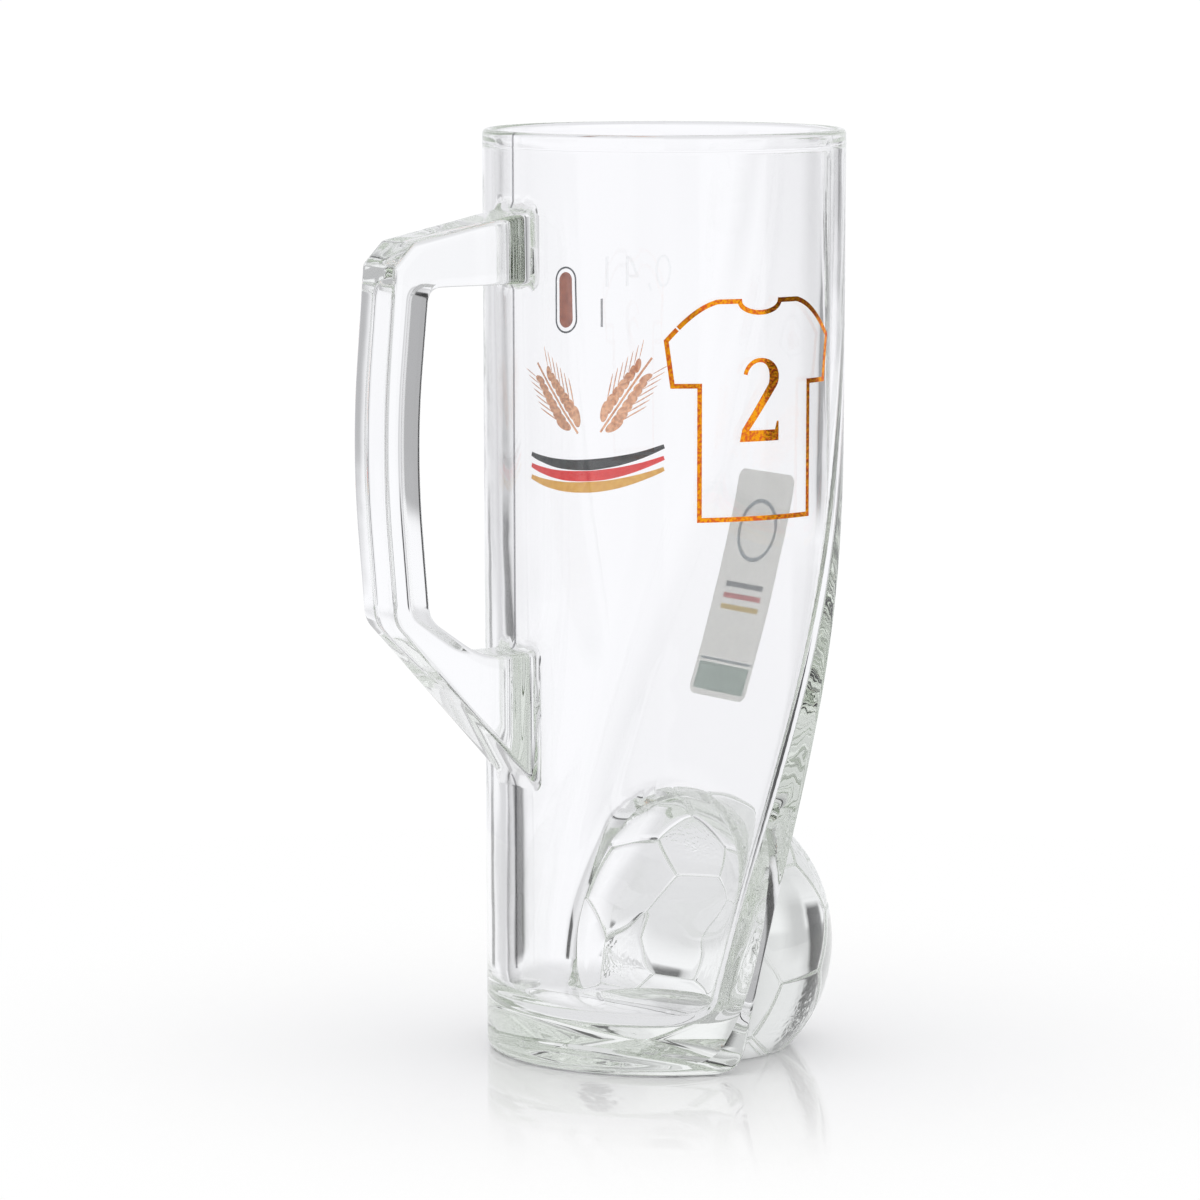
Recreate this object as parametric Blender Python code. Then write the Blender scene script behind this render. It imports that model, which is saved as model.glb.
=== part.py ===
"""Clear glass beer mug with a scarf-cut face, a half football seated in the cut, a handle and fired prints.

Metres, +Z up. The origin is on the mug's axis, on the surface that the mug stands on. The football is towards +X,
the handle towards -X, and the glass is symmetric about the XZ plane.
"""

import math

import bmesh
import bpy
from mathutils import Vector

# Gap left between two pieces that rest on each other
CLEARANCE = 0.0003

# Round glass wall
HEIGHT = 0.194
RIM_RADIUS = 0.038
FOOT_RADIUS = 0.0373
WALL = 0.003
FLOOR = 0.009
FLOOR_FILLET = 0.005
HEEL = 0.002

# Scarf cut: a face ruled along Y whose distance from the axis follows one curve from the foot to its upper edge
CUT_RIM_BAND = 0.005
CUT_TOP_DEPTH = 0.0014
CUT_FOOT_PAST_AXIS = 0.0055
CUT_FOOT_RISE = 0.069
CUT_FOOT_OUT = 0.0135
CUT_TOP_FALL = 0.0946
CUT_TOP_IN = 0.0027
CUT_LEDGE = 0.0008
CUT_HEEL = 0.005
CUT_EDGE_RADIUS = 0.0012
CUT_WALL = 0.0035
CUT_WALL_RUN = 0.05
CAVITY_FADE = 0.0002
CAVITY_CORNER = 0.006

# Half football, its seams after a ball of twelve pentagons and twenty hexagons
BALL_RADIUS = 0.0325
BALL_INSET = 0.0007
BALL_CENTRE_HEIGHT = 0.0222
BALL_TILT = math.radians(21.7)
SEAM_WIDTH = 0.0012
SEAM_DEPTH = 0.0005

# Handle, heights measured down from its top and reaches measured out from the rim's radius
HANDLE_DROP = 0.0155
HANDLE_WIDTH = 0.013
HANDLE_EDGE = 0.0022
HANDLE_ROOT = 0.006
GRIP_REACH = 0.0357
GRIP_END_REACH = 0.0326
GRIP_THICKNESS = 0.0084
GRIP_MIDDLE_DROP = 0.048
GRIP_BOW_RADIUS = 0.3
UPPER_ARM_FALL = 0.006
UPPER_ARM_UNDERSIDE_DROP = 0.0153
UPPER_CHAMFER = 0.0046
UPPER_INNER_RADIUS = 0.0035
LOWER_CORNER_DROP = 0.0835
LOWER_CORNER_RADIUS = 0.006
LOWER_TIP_DROP = 0.1185
LOWER_ARM_TOP_DROP = 0.0915
LOWER_ARM_BEND_REACH = 0.0115
LOWER_ARM_BEND_RADIUS = 0.015
LOWER_INNER_DROP = 0.083
LOWER_INNER_RADIUS = 0.006

# Fired prints and label: thickness of a layer and the length of a step along a curved edge
LAYER = 0.0002
STEP = 0.004

# Shirt outline with its number, on the -Y side
SHIRT_AZIMUTH = math.radians(-93.7)
SHIRT_TOP_DROP = 0.0338
SHIRT_LENGTH = 0.0446
SHIRT_LINE = 0.001
SHIRT_HALF_BODY = 0.0134
SHIRT_HALF_SPAN = 0.0203
SHIRT_HALF_CUFF = 0.019
SHIRT_HALF_COLLAR = 0.0048
COLLAR_DEPTH = 0.0024
SHOULDER_FALL = 0.0079
CUFF_FALL = 0.0171
SHOULDER_SWELL = 0.0013
SHOULDER_POWER = 1.7
LINE_BREAK = 0.0003
LINE_BREAK_PLACE = 0.86
NUMBER_TOP_DROP = 0.0455
NUMBER_HEIGHT = 0.0171
NUMBER_HALF_WIDTH = 0.0047
NUMBER_THIN = 0.0009
NUMBER_THICK = 0.0024
NUMBER_FOOT = 0.0023
NUMBER_SERIF = 0.004
NUMBER_BOWL_START = math.radians(170)
NUMBER_BOWL_TURN = math.radians(205)

# Barley ears over a three-colour ribbon, on the +Y side
EMBLEM_AZIMUTH = math.radians(82)
EAR_ROOT_DROP = 0.0665
EAR_LENGTH = 0.019
EAR_WIDTH = 0.0052
EAR_STEM = 0.0012
EAR_LEAN = math.radians(38)
EAR_GRAINS = 6
EAR_SPREAD = 0.0035
EAR_NECK = 0.62
EAR_TAPER_START = 0.12
EAR_TAPER_RUN = 0.8
RIBBON_DROP = 0.0705
RIBBON_HALF_LENGTH = 0.018
RIBBON_WIDTH = 0.0019
RIBBON_PITCH = 0.0024
RIBBON_SAG = 0.0035
RIBBON_END_WIDTH = 0.0007

# Small oblong badge above the emblem
BADGE_AZIMUTH = math.radians(91)
BADGE_DROP = 0.0385
BADGE_HALF_LENGTH = 0.0072
BADGE_HALF_WIDTH = 0.003
BADGE_LINE = 0.0004
BADGE_MARGIN = 0.0008

# Capacity mark with its short upright fill line
MARK_AZIMUTH = math.radians(65)
MARK_BASE_DROP = 0.036
MARK_DIGIT_HEIGHT = 0.007
MARK_DIGIT_WIDTH = 0.0036
MARK_ZERO_PLACE = -0.0065
MARK_COMMA_PLACE = -0.0032
MARK_COMMA_LENGTH = 0.0015
MARK_FOUR_PLACE = 0.0009
MARK_FOUR_POST = 0.0008
MARK_FOUR_BAR_RISE = 0.0022
MARK_LITRE_PLACE = 0.0065
MARK_LINE = 0.0005
FILL_LINE_PLACE = 0.0078
FILL_LINE_DROP = 0.0386
FILL_LINE_LENGTH = 0.0061

# Label on the cut face
LABEL_DROP = 0.074
LABEL_LENGTH = 0.048
LABEL_WIDTH = 0.02
LABEL_CORNER = 0.002
LABEL_BAND_LENGTH = 0.0068
LABEL_RULE = 0.0005
LABEL_RULE_GAP = 0.0008
LABEL_MARGIN = 0.0012
RING_DROP = 0.0125
RING_RADIUS = 0.0068
RING_LINE = 0.0009
BAR_DROP = 0.0245
BAR_LENGTH = 0.013
BAR_WIDTH = 0.0011
BAR_PITCH = 0.0024

# Steps round a section of the glass, up the wall and round small arcs
ARC_STEPS = 44
FLAT_STEPS = 4
CORNER_STEPS = 3
WALL_STEPS = 15
FILLET_STEPS = 4
LIP_STEPS = 6
SEAM_STEPS = 3
SHOULDER_STEPS = 6
COLLAR_STEPS = 6
BOWL_STEPS = 10
ROUND_STEPS = 28
CORE_STEPS = 84
HALVINGS = 40
PANEL_RING_SHARE = 0.5
MITRE_LIMIT = 0.3
WELD = 0.00005
SHARP_ANGLE = math.radians(32)

# Values that follow from the sizes above
CUT_TOP = HEIGHT - CUT_RIM_BAND
CUT_HEIGHTS = (0.0, CUT_FOOT_RISE, CUT_TOP - CUT_TOP_FALL, CUT_TOP)
CUT_OFFSETS = (
    -CUT_FOOT_PAST_AXIS,
    CUT_FOOT_OUT - CUT_FOOT_PAST_AXIS,
    RIM_RADIUS - CUT_TOP_DEPTH - CUT_TOP_IN,
    RIM_RADIUS - CUT_TOP_DEPTH,
)
HANDLE_TOP = HEIGHT - HANDLE_DROP
PENTAGON_APART = math.atan(2.0)
BALL_CENTRE = Vector((FOOT_RADIUS - BALL_INSET - BALL_RADIUS, 0.0, BALL_CENTRE_HEIGHT))
LABEL_TOP = HEIGHT - LABEL_DROP


def clear_scene():
    """Remove every object of the scene."""
    for item in list(bpy.data.objects):
        bpy.data.objects.remove(item, do_unlink=True)


def material(name, colour, roughness, metallic=0.0, transmission=0.0):
    """Make a plain material for one piece."""
    made = bpy.data.materials.new(name)
    made.use_nodes = True
    shader = made.node_tree.nodes["Principled BSDF"]
    shader.inputs["Base Color"].default_value = (*colour, 1.0)
    shader.inputs["Roughness"].default_value = roughness
    shader.inputs["Metallic"].default_value = metallic
    shader.inputs["Transmission Weight"].default_value = transmission
    return made


def link(name, mesh_data, finish):
    """Turn a bmesh into a named object with its material, shaded smooth between its sharp edges."""
    bmesh.ops.recalc_face_normals(mesh_data, faces=mesh_data.faces)
    mesh = bpy.data.meshes.new(name)
    mesh_data.to_mesh(mesh)
    mesh_data.free()
    mesh.shade_smooth()
    mesh.set_sharp_from_angle(angle=SHARP_ANGLE)
    made = bpy.data.objects.new(name, mesh)
    if finish is not None:
        mesh.materials.append(finish)
    bpy.context.scene.collection.objects.link(made)
    return made


def cutter(name, mesh_data, target, operation):
    """Use a bmesh to cut a target object, as a hidden wire object."""
    tool = link(name, mesh_data, None)
    tool.hide_render = True
    tool.display_type = "WIRE"
    cut = target.modifiers.new(name, "BOOLEAN")
    cut.operation = operation
    cut.solver = "EXACT"
    cut.object = tool
    return tool


def bridge(made, loops):
    """Join closed loops of vertices one after another and close both ends."""
    for lower, upper in zip(loops, loops[1:]):
        for i, vert in enumerate(lower):
            made.faces.new((lower[i - 1], vert, upper[i], upper[i - 1]))
    made.faces.new(reversed(loops[0]))
    made.faces.new(loops[-1])


def bezier(values, t):
    """Value of a cubic curve at t."""
    s = 1.0 - t
    return s**3 * values[0] + 3 * s * s * t * values[1] + 3 * s * t * t * values[2] + t**3 * values[3]


def cut_offset(z):
    """Distance of the cut face from the axis at a height."""
    low, high = 0.0, 1.0
    for _ in range(HALVINGS):
        middle = (low + high) / 2
        if bezier(CUT_HEIGHTS, middle) < z:
            low = middle
        else:
            high = middle
    return bezier(CUT_OFFSETS, low)


def wall_radius(z):
    """Outer radius of the round wall at a height."""
    return FOOT_RADIUS + (RIM_RADIUS - FOOT_RADIUS) * z / HEIGHT


def cut_wall(z):
    """Glass thickness behind the cut face, which thins out towards the cut's upper edge."""
    t = min(max((CUT_TOP - z) / CUT_WALL_RUN, 0.0), 1.0)
    top = WALL - CUT_TOP_DEPTH + CAVITY_FADE
    return top + (CUT_WALL - top) * t * t * (3 - 2 * t)


def round_inset(z, radius):
    """How far a rounded bottom edge draws in at a height."""
    if z >= radius:
        return 0.0
    return radius - math.sqrt(radius**2 - (radius - z) ** 2)


def arc(centre, radius, start, end, steps):
    """Points along an arc, without its last one."""
    angles = (start + (end - start) * i / steps for i in range(steps))
    return [Vector((centre[0] + radius * math.cos(a), centre[1] + radius * math.sin(a))) for a in angles]


def section(radius, offset, corner):
    """Outline of a round section that is cut flat at x = offset, with rounded corners."""
    reach = math.sqrt((radius - corner) ** 2 - (offset - corner) ** 2)
    turn = math.atan2(reach, offset - corner)
    flat = [Vector((offset, reach * (2 * i / FLAT_STEPS - 1))) for i in range(FLAT_STEPS)]
    left = arc((offset - corner, reach), corner, 0.0, turn, CORNER_STEPS)
    back = arc((0.0, 0.0), radius, turn, 2 * math.pi - turn, ARC_STEPS)
    right = arc((offset - corner, -reach), corner, -turn, 0.0, CORNER_STEPS)
    return flat + left + back + right


def round_out(outline, radius):
    """Move the points of a cut section out to a full circle."""
    return [point.normalized() * radius for point in outline]


def outer_levels():
    """Heights of the outer wall's rings, from the foot to the cut's upper edge."""
    heel = [CUT_HEEL * (1 - math.cos(math.pi / 2 * i / FILLET_STEPS)) for i in range(FILLET_STEPS)]
    return heel + [CUT_HEEL + (CUT_TOP - CUT_HEEL) * i / WALL_STEPS for i in range(WALL_STEPS + 1)]


def mug_rings():
    """Rings of the glass body, up its outside, over the lip and down its inside to the floor."""
    rings = []
    for z in outer_levels():
        radius = wall_radius(z) - round_inset(z, HEEL)
        outline = section(radius, cut_offset(z) - round_inset(z, CUT_HEEL), CUT_EDGE_RADIUS)
        rings.append((outline, z))
    above_cut = CUT_TOP + CUT_LEDGE
    rings.append((round_out(outline, wall_radius(above_cut)), above_cut))
    lip_z = HEIGHT - WALL / 2
    lip_radius = wall_radius(lip_z) - WALL / 2
    for i in range(LIP_STEPS + 1):
        angle = math.pi * i / LIP_STEPS
        ring = round_out(outline, lip_radius + WALL / 2 * math.cos(angle))
        rings.append((ring, lip_z + WALL / 2 * math.sin(angle)))
    floor_top = FLOOR + FLOOR_FILLET
    levels = [CUT_TOP + (floor_top - CUT_TOP) * i / WALL_STEPS for i in range(WALL_STEPS + 1)]
    inside = [(cavity_section(z, 0.0), z) for z in levels]
    rings.append((round_out(inside[0][0], wall_radius(above_cut) - WALL), above_cut))
    rings += inside
    for i in range(1, FILLET_STEPS + 1):
        angle = math.pi / 2 * i / FILLET_STEPS
        inset = FLOOR_FILLET * (1 - math.cos(angle))
        rings.append((cavity_section(floor_top, inset), floor_top - FLOOR_FILLET * math.sin(angle)))
    return rings


def cavity_section(z, inset):
    """Outline of the mug's inside at a height, drawn in by an inset."""
    radius = wall_radius(z) - WALL - inset
    offset = cut_offset(z) - cut_wall(z) - inset
    return section(radius, offset, max(CAVITY_CORNER - inset, CUT_EDGE_RADIUS))


def make_mug_body():
    """The wall, the thick floor and the scarf-cut face, pressed as one glass."""
    made = bmesh.new()
    bridge(made, [[made.verts.new((p.x, p.y, z)) for p in outline] for outline, z in mug_rings()])
    link("mug_body", made, material("clear_glass", (0.93, 0.96, 0.94), 0.02, transmission=1.0))


def ball_axes():
    """Directions of the twelve pentagons: one faces out and down in the symmetry plane."""
    front = Vector((math.cos(BALL_TILT), 0.0, -math.sin(BALL_TILT)))
    down = Vector((-math.sin(BALL_TILT), 0.0, -math.cos(BALL_TILT)))
    side = Vector((0.0, 1.0, 0.0))
    ring = []
    for i in range(5):
        angle = 2 * math.pi * i / 5
        across = down * math.cos(angle) + side * math.sin(angle)
        ring.append(front * math.cos(PENTAGON_APART) + across * math.sin(PENTAGON_APART))
    half = [front] + ring
    return half + [-axis for axis in half]


def ball_panels():
    """Corner directions of the pentagons and hexagons: only neighbouring pentagons are less than square apart."""
    axes = ball_axes()
    pairs = [(a, b) for a in axes for b in axes if a is not b and a.dot(b) > 0.0]
    panels = [(axis, [(2 * a + b).normalized() for a, b in pairs if a is axis]) for axis in axes]
    for i, a in enumerate(axes):
        for j, b in enumerate(axes[:i]):
            for c in axes[:j]:
                if min(a.dot(b), b.dot(c), c.dot(a)) > 0.0:
                    trio = (a, b, c)
                    corners = [(2 * p + q).normalized() for p in trio for q in trio if p is not q]
                    panels.append(((a + b + c).normalized(), corners))
    return [(middle, in_order(middle, corners)) for middle, corners in panels]


def in_order(middle, corners):
    """Sort corners by their angle round a middle direction."""
    first = (corners[0] - middle * corners[0].dot(middle)).normalized()
    second = middle.cross(first)
    return sorted(corners, key=lambda corner: math.atan2(corner.dot(second), corner.dot(first)))


def make_football():
    """Half ball with panel seams, seated on the cut face and cut flat where the mug stands."""
    made = bmesh.new()
    for middle, corners in ball_panels():
        edge = []
        for i, corner in enumerate(corners):
            after = corners[(i + 1) % len(corners)]
            edge += [corner.lerp(after, k / SEAM_STEPS).normalized() for k in range(SEAM_STEPS)]
        inset = SEAM_WIDTH / 2 / BALL_RADIUS
        shares = (0.0, inset / (edge[0] - middle).length, PANEL_RING_SHARE)
        radii = (BALL_RADIUS - SEAM_DEPTH, BALL_RADIUS, BALL_RADIUS)
        loops = []
        for share, radius in zip(shares, radii):
            ring = [BALL_CENTRE + p.lerp(middle, share).normalized() * radius for p in edge]
            loops.append([made.verts.new(point) for point in ring])
        pole = made.verts.new(BALL_CENTRE + middle * BALL_RADIUS)
        for lower, upper in zip(loops, loops[1:]):
            for i, vert in enumerate(lower):
                made.faces.new((lower[i - 1], vert, upper[i], upper[i - 1]))
        for i, vert in enumerate(loops[-1]):
            made.faces.new((loops[-1][i - 1], vert, pole))
    bmesh.ops.remove_doubles(made, verts=made.verts, dist=WELD)
    ball = link("football", made, material("ball_glass", (0.9, 0.94, 0.92), 0.05, transmission=1.0))
    cutter("football_seat", seat_block(), ball, "INTERSECT")


def seat_block():
    """Space in front of the cut face and above the surface that the mug stands on."""
    reach = BALL_CENTRE.x + 2 * BALL_RADIUS
    face = [(cut_offset(z) + CLEARANCE, z) for z in outer_levels()]
    profile = face + [(reach, CUT_TOP), (reach, 0.0)]
    return prism(profile, 2 * BALL_RADIUS)


def prism(profile, half_width):
    """Extrude an outline in the XZ plane to both sides of it."""
    made = bmesh.new()
    bridge(made, [[made.verts.new((x, y, z)) for x, z in profile] for y in (-half_width, half_width)])
    return made


def fillet(before, corner, after, radius):
    """Points that round a corner, or the corner itself where the radius is zero."""
    here = Vector(corner)
    back, ahead = Vector(before) - here, Vector(after) - here
    half = back.angle(ahead) / 2
    if radius == 0.0:
        return [here]
    run = min(radius / math.tan(half), back.length / 2, ahead.length / 2)
    start, end = here + back.normalized() * run, here + ahead.normalized() * run
    points = []
    for i in range(FILLET_STEPS + 1):
        t = i / FILLET_STEPS
        points.append(start * (1 - t) ** 2 + here * 2 * t * (1 - t) + end * t * t)
    return points


def handle_outline():
    """Handle seen from the side as distance from the axis and height, with its roots inside the wall."""
    root = FOOT_RADIUS - HANDLE_ROOT
    end_reach = RIM_RADIUS + GRIP_END_REACH
    reach = RIM_RADIUS + GRIP_REACH
    tip_run = (end_reach - root) / (end_reach - FOOT_RADIUS)
    tip_drop = LOWER_CORNER_DROP + (LOWER_TIP_DROP - LOWER_CORNER_DROP) * tip_run
    corners = [
        (root, 0.0, 0.0),
        (end_reach - UPPER_CHAMFER, UPPER_ARM_FALL, UPPER_CHAMFER),
        (end_reach, UPPER_ARM_FALL + UPPER_CHAMFER, UPPER_CHAMFER),
        (reach, GRIP_MIDDLE_DROP, GRIP_BOW_RADIUS),
        (end_reach, LOWER_CORNER_DROP, LOWER_CORNER_RADIUS),
        (root, tip_drop, 0.0),
        (root, LOWER_ARM_TOP_DROP, 0.0),
        (RIM_RADIUS + LOWER_ARM_BEND_REACH, LOWER_ARM_TOP_DROP, LOWER_ARM_BEND_RADIUS),
        (end_reach - GRIP_THICKNESS, LOWER_INNER_DROP, LOWER_INNER_RADIUS),
        (reach - GRIP_THICKNESS, GRIP_MIDDLE_DROP, GRIP_BOW_RADIUS),
        (end_reach - GRIP_THICKNESS, UPPER_ARM_UNDERSIDE_DROP, UPPER_INNER_RADIUS),
        (root, UPPER_ARM_UNDERSIDE_DROP, 0.0),
    ]
    points = []
    for i, (x, drop, radius) in enumerate(corners):
        before, after = corners[i - 1][:2], corners[(i + 1) % len(corners)][:2]
        points += fillet(before, (x, drop), after, radius)
    return [(-point.x, HANDLE_TOP - point.y) for point in points]


def inset_outline(outline, amount):
    """Draw a closed outline in by an amount, square to its edges."""
    points = [Vector(point) for point in outline]
    drawn = []
    for i, here in enumerate(points):
        back, ahead = here - points[i - 1], points[(i + 1) % len(points)] - here
        one = Vector((-back.y, back.x)).normalized()
        two = Vector((-ahead.y, ahead.x)).normalized()
        across = (one + two).normalized()
        drawn.append(here + across * amount / across.dot(one))
    return drawn


def make_handle():
    """Handle with a strap section and rounded edges, its two roots shaped to the wall."""
    made = bmesh.new()
    outline = handle_outline()
    turns = [math.pi / 2 * i / CORNER_STEPS for i in range(CORNER_STEPS + 1)]
    side = [(HANDLE_WIDTH / 2 - HANDLE_EDGE * (1 - math.sin(a)), HANDLE_EDGE * (1 - math.cos(a))) for a in turns]
    loops = []
    for y, amount in [(-y, amount) for y, amount in reversed(side)] + side:
        loops.append([made.verts.new((p.x, y, p.y)) for p in inset_outline(outline, amount)])
    bridge(made, loops)
    handle = link("handle", made, material("handle_glass", (0.92, 0.95, 0.93), 0.02, transmission=1.0))
    cutter("handle_seat", wall_core(), handle, "DIFFERENCE")


def wall_core():
    """Solid cone of the mug's round wall and the gap outside it."""
    core = bmesh.new()
    bmesh.ops.create_cone(
        core,
        cap_ends=True,
        segments=CORE_STEPS,
        radius1=FOOT_RADIUS + CLEARANCE,
        radius2=RIM_RADIUS + CLEARANCE,
        depth=HEIGHT,
    )
    bmesh.ops.translate(core, verts=core.verts, vec=(0.0, 0.0, HEIGHT / 2))
    return core


def on_wall(azimuth):
    """Place points on the round wall: u to the right, v up and a lift off the glass."""

    def place(u, v, lift):
        radius = wall_radius(v) + CLEARANCE + lift
        angle = azimuth + u / RIM_RADIUS
        return Vector((radius * math.cos(angle), radius * math.sin(angle), v))

    return place


def on_cut(base):
    """Place points on the cut face, a number of layers off the glass."""

    def place(u, v, lift):
        slope = (cut_offset(v + STEP) - cut_offset(v - STEP)) / (2 * STEP)
        out = Vector((1.0, 0.0, -slope)).normalized()
        return Vector((cut_offset(v), u, v)) + out * (base + lift)

    return place


def plate(name, outline, place, finish):
    """A thin layer with the outline of a flat polygon, laid on a surface."""
    made = bmesh.new()
    made.faces.new([made.verts.new((u, v, 0.0)) for u, v in outline])
    bmesh.ops.triangulate(made, faces=made.faces)
    top = bmesh.ops.extrude_face_region(made, geom=made.faces[:])["geom"]
    for vert in (item for item in top if isinstance(item, bmesh.types.BMVert)):
        vert.co.z = LAYER
    for vert in made.verts:
        vert.co = place(*vert.co)
    link(name, made, finish)


def ribbon(name, path, widths, place, finish, closed=False):
    """A thin layer along a path, with a width at each of its points, laid on a surface."""
    made = bmesh.new()
    loops = []
    for (left, right) in edges_of(path, widths, closed):
        corners = [(left, 0.0), (right, 0.0), (right, LAYER), (left, LAYER)]
        loops.append([made.verts.new(place(point.x, point.y, lift)) for point, lift in corners])
    for before, after in zip(loops, loops[1:] + loops[:1] if closed else loops[1:]):
        for k in range(4):
            made.faces.new((before[k - 1], before[k], after[k], after[k - 1]))
    if not closed:
        made.faces.new(reversed(loops[0]))
        made.faces.new(loops[-1])
    link(name, made, finish)


def edges_of(path, widths, closed):
    """Left and right edge points of a band along a path, mitred at its corners."""
    points = [Vector(point) for point in path]
    count = len(points)
    edges = []
    for i, here in enumerate(points):
        back = here - points[i - 1] if closed or i > 0 else points[1] - here
        ahead = points[(i + 1) % count] - here if closed or i < count - 1 else back
        one, two = back.normalized().orthogonal(), ahead.normalized().orthogonal()
        across = (one + two).normalized()
        half = widths[i] / 2 / max(across.dot(one), MITRE_LIMIT)
        edges.append((here + across * half, here - across * half))
    return edges


def divided(corners, closed=False):
    """Points along straight runs between corners, no further apart than a step."""
    ends = list(zip(corners, corners[1:] + corners[:1] if closed else corners[1:]))
    points = []
    for start, end in ends:
        first, last = Vector(start), Vector(end)
        pieces = max(1, math.ceil((last - first).length / STEP))
        points += [first.lerp(last, k / pieces) for k in range(pieces)]
    return points if closed else points + [Vector(corners[-1])]


def shirt_path():
    """Shirt outline as an open line that starts and ends at the break in its left shoulder."""
    top = HEIGHT - SHIRT_TOP_DROP
    hem, sleeve, cuff = top - SHIRT_LENGTH, top - SHOULDER_FALL, top - CUFF_FALL
    shoulder = []
    for i in range(SHOULDER_STEPS + 1):
        t = i / SHOULDER_STEPS
        u = SHIRT_HALF_SPAN + (SHIRT_HALF_COLLAR - SHIRT_HALF_SPAN) * t
        lift = SHOULDER_FALL * (1 - (1 - t) ** SHOULDER_POWER) + SHOULDER_SWELL * math.sin(math.pi * t)
        shoulder.append((u, sleeve + min(lift, SHOULDER_FALL)))
    collar = []
    for i in range(1, COLLAR_STEPS):
        angle = math.pi * i / COLLAR_STEPS
        collar.append((SHIRT_HALF_COLLAR * math.cos(angle), top - COLLAR_DEPTH * math.sin(angle)))
    mirrored = [(-u, v) for u, v in shoulder]
    side = [(SHIRT_HALF_CUFF, cuff), (SHIRT_HALF_BODY, cuff), (SHIRT_HALF_BODY, hem)]
    left_side = [(-u, v) for u, v in reversed(side)]
    tip, first = Vector(mirrored[0]), Vector(mirrored[1])
    break_end = tip.lerp(first, LINE_BREAK_PLACE)
    break_start = break_end + (first - tip).normalized() * LINE_BREAK
    upper = [break_start] + mirrored[2:] + collar[::-1] + shoulder[::-1]
    return divided(upper + side + left_side + [tip, break_end])


def make_shirt(gold):
    """Outline of a football shirt, drawn with one line."""
    path = shirt_path()
    ribbon("shirt_outline", path, [SHIRT_LINE] * len(path), on_wall(SHIRT_AZIMUTH), gold)


def number_outline():
    """Numeral two with a swelling bowl, a thin diagonal and a flat foot."""
    top = NUMBER_HEIGHT
    bowl = NUMBER_HALF_WIDTH - NUMBER_THICK / 2
    middle = top - NUMBER_THIN / 2 - bowl
    path, widths = [], []
    for i in range(BOWL_STEPS + 1):
        angle = NUMBER_BOWL_START - NUMBER_BOWL_TURN * i / BOWL_STEPS
        path.append((bowl * math.cos(angle), middle + bowl * math.sin(angle)))
        swell = max(math.cos(angle), 0.0) ** 2
        widths.append(NUMBER_THIN + (NUMBER_THICK - NUMBER_THIN) * swell)
    path.append((-NUMBER_HALF_WIDTH + NUMBER_THIN, NUMBER_FOOT))
    widths.append(NUMBER_THIN)
    edges = edges_of(path, widths, False)
    outer = [left for left, right in edges]
    inner = [right for left, right in edges]
    if outer[0].y < inner[0].y:
        outer, inner = inner, outer
    right, serif = NUMBER_HALF_WIDTH, NUMBER_SERIF
    foot = [(outer[-1].x + NUMBER_THIN, NUMBER_FOOT), (right - NUMBER_THIN, NUMBER_FOOT)]
    foot += [(right - NUMBER_THIN / 2, serif), (right, serif), (right, 0.0), (0.0, 0.0), (-right, 0.0)]
    return outer[:-1] + foot + inner[::-1]


def make_number(gold):
    """Plain number inside the shirt."""
    base = HEIGHT - NUMBER_TOP_DROP - NUMBER_HEIGHT
    outline = [(u, v + base) for u, v in number_outline()]
    plate("shirt_number", outline, on_wall(SHIRT_AZIMUTH), gold)


def make_emblem(copper, ribbon_finishes):
    """Two crossed barley ears over a sagging ribbon of three colours."""
    place = on_wall(EMBLEM_AZIMUTH)
    steps = 2 * EAR_GRAINS
    for name, side in (("barley_ear_left", -1), ("barley_ear_right", 1)):
        path, widths = [], []
        for i in range(steps + 1):
            t = i / steps
            along = EAR_LENGTH * t
            u = side * (EAR_SPREAD + along * math.sin(EAR_LEAN))
            path.append((u, HEIGHT - EAR_ROOT_DROP + along * math.cos(EAR_LEAN)))
            grain = EAR_WIDTH * math.sin(math.pi * (EAR_TAPER_START + EAR_TAPER_RUN * t))
            if i % 2 == 0:
                grain *= EAR_NECK
            widths.append(EAR_STEM if i in (0, steps) else grain)
        ribbon(name, path, widths, place, copper)
    for k, (name, finish) in enumerate(ribbon_finishes):
        path = []
        count = math.ceil(2 * RIBBON_HALF_LENGTH / STEP)
        for i in range(count + 1):
            t = 2 * i / count - 1
            sag = RIBBON_SAG * (1 - t * t)
            path.append((RIBBON_HALF_LENGTH * t, HEIGHT - RIBBON_DROP - k * RIBBON_PITCH - sag))
        swell = [math.sin(math.pi * i / count) for i in range(count + 1)]
        widths = [RIBBON_END_WIDTH + (RIBBON_WIDTH - RIBBON_END_WIDTH) * share for share in swell]
        ribbon(name, path, widths, place, finish)


def oblong(half_length, half_width, centre):
    """Upright outline with round ends."""
    run = half_length - half_width
    upper = arc((0.0, centre + run), half_width, 0.0, math.pi, ROUND_STEPS // 2)
    lower = arc((0.0, centre - run), half_width, math.pi, 2 * math.pi, ROUND_STEPS // 2)
    return upper + [Vector((-half_width, centre + run))] + lower + [Vector((half_width, centre - run))]


def make_badge(enamel, line):
    """Oblong enamel badge inside a thin line."""
    centre = HEIGHT - BADGE_DROP
    inner_length = BADGE_HALF_LENGTH - BADGE_LINE - BADGE_MARGIN
    inner_width = BADGE_HALF_WIDTH - BADGE_LINE - BADGE_MARGIN
    plate("badge_enamel", oblong(inner_length, inner_width, centre), on_wall(BADGE_AZIMUTH), enamel)
    path = oblong(BADGE_HALF_LENGTH - BADGE_LINE / 2, BADGE_HALF_WIDTH - BADGE_LINE / 2, centre)
    ribbon("badge_line", path, [BADGE_LINE] * len(path), on_wall(BADGE_AZIMUTH), line, closed=True)


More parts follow.
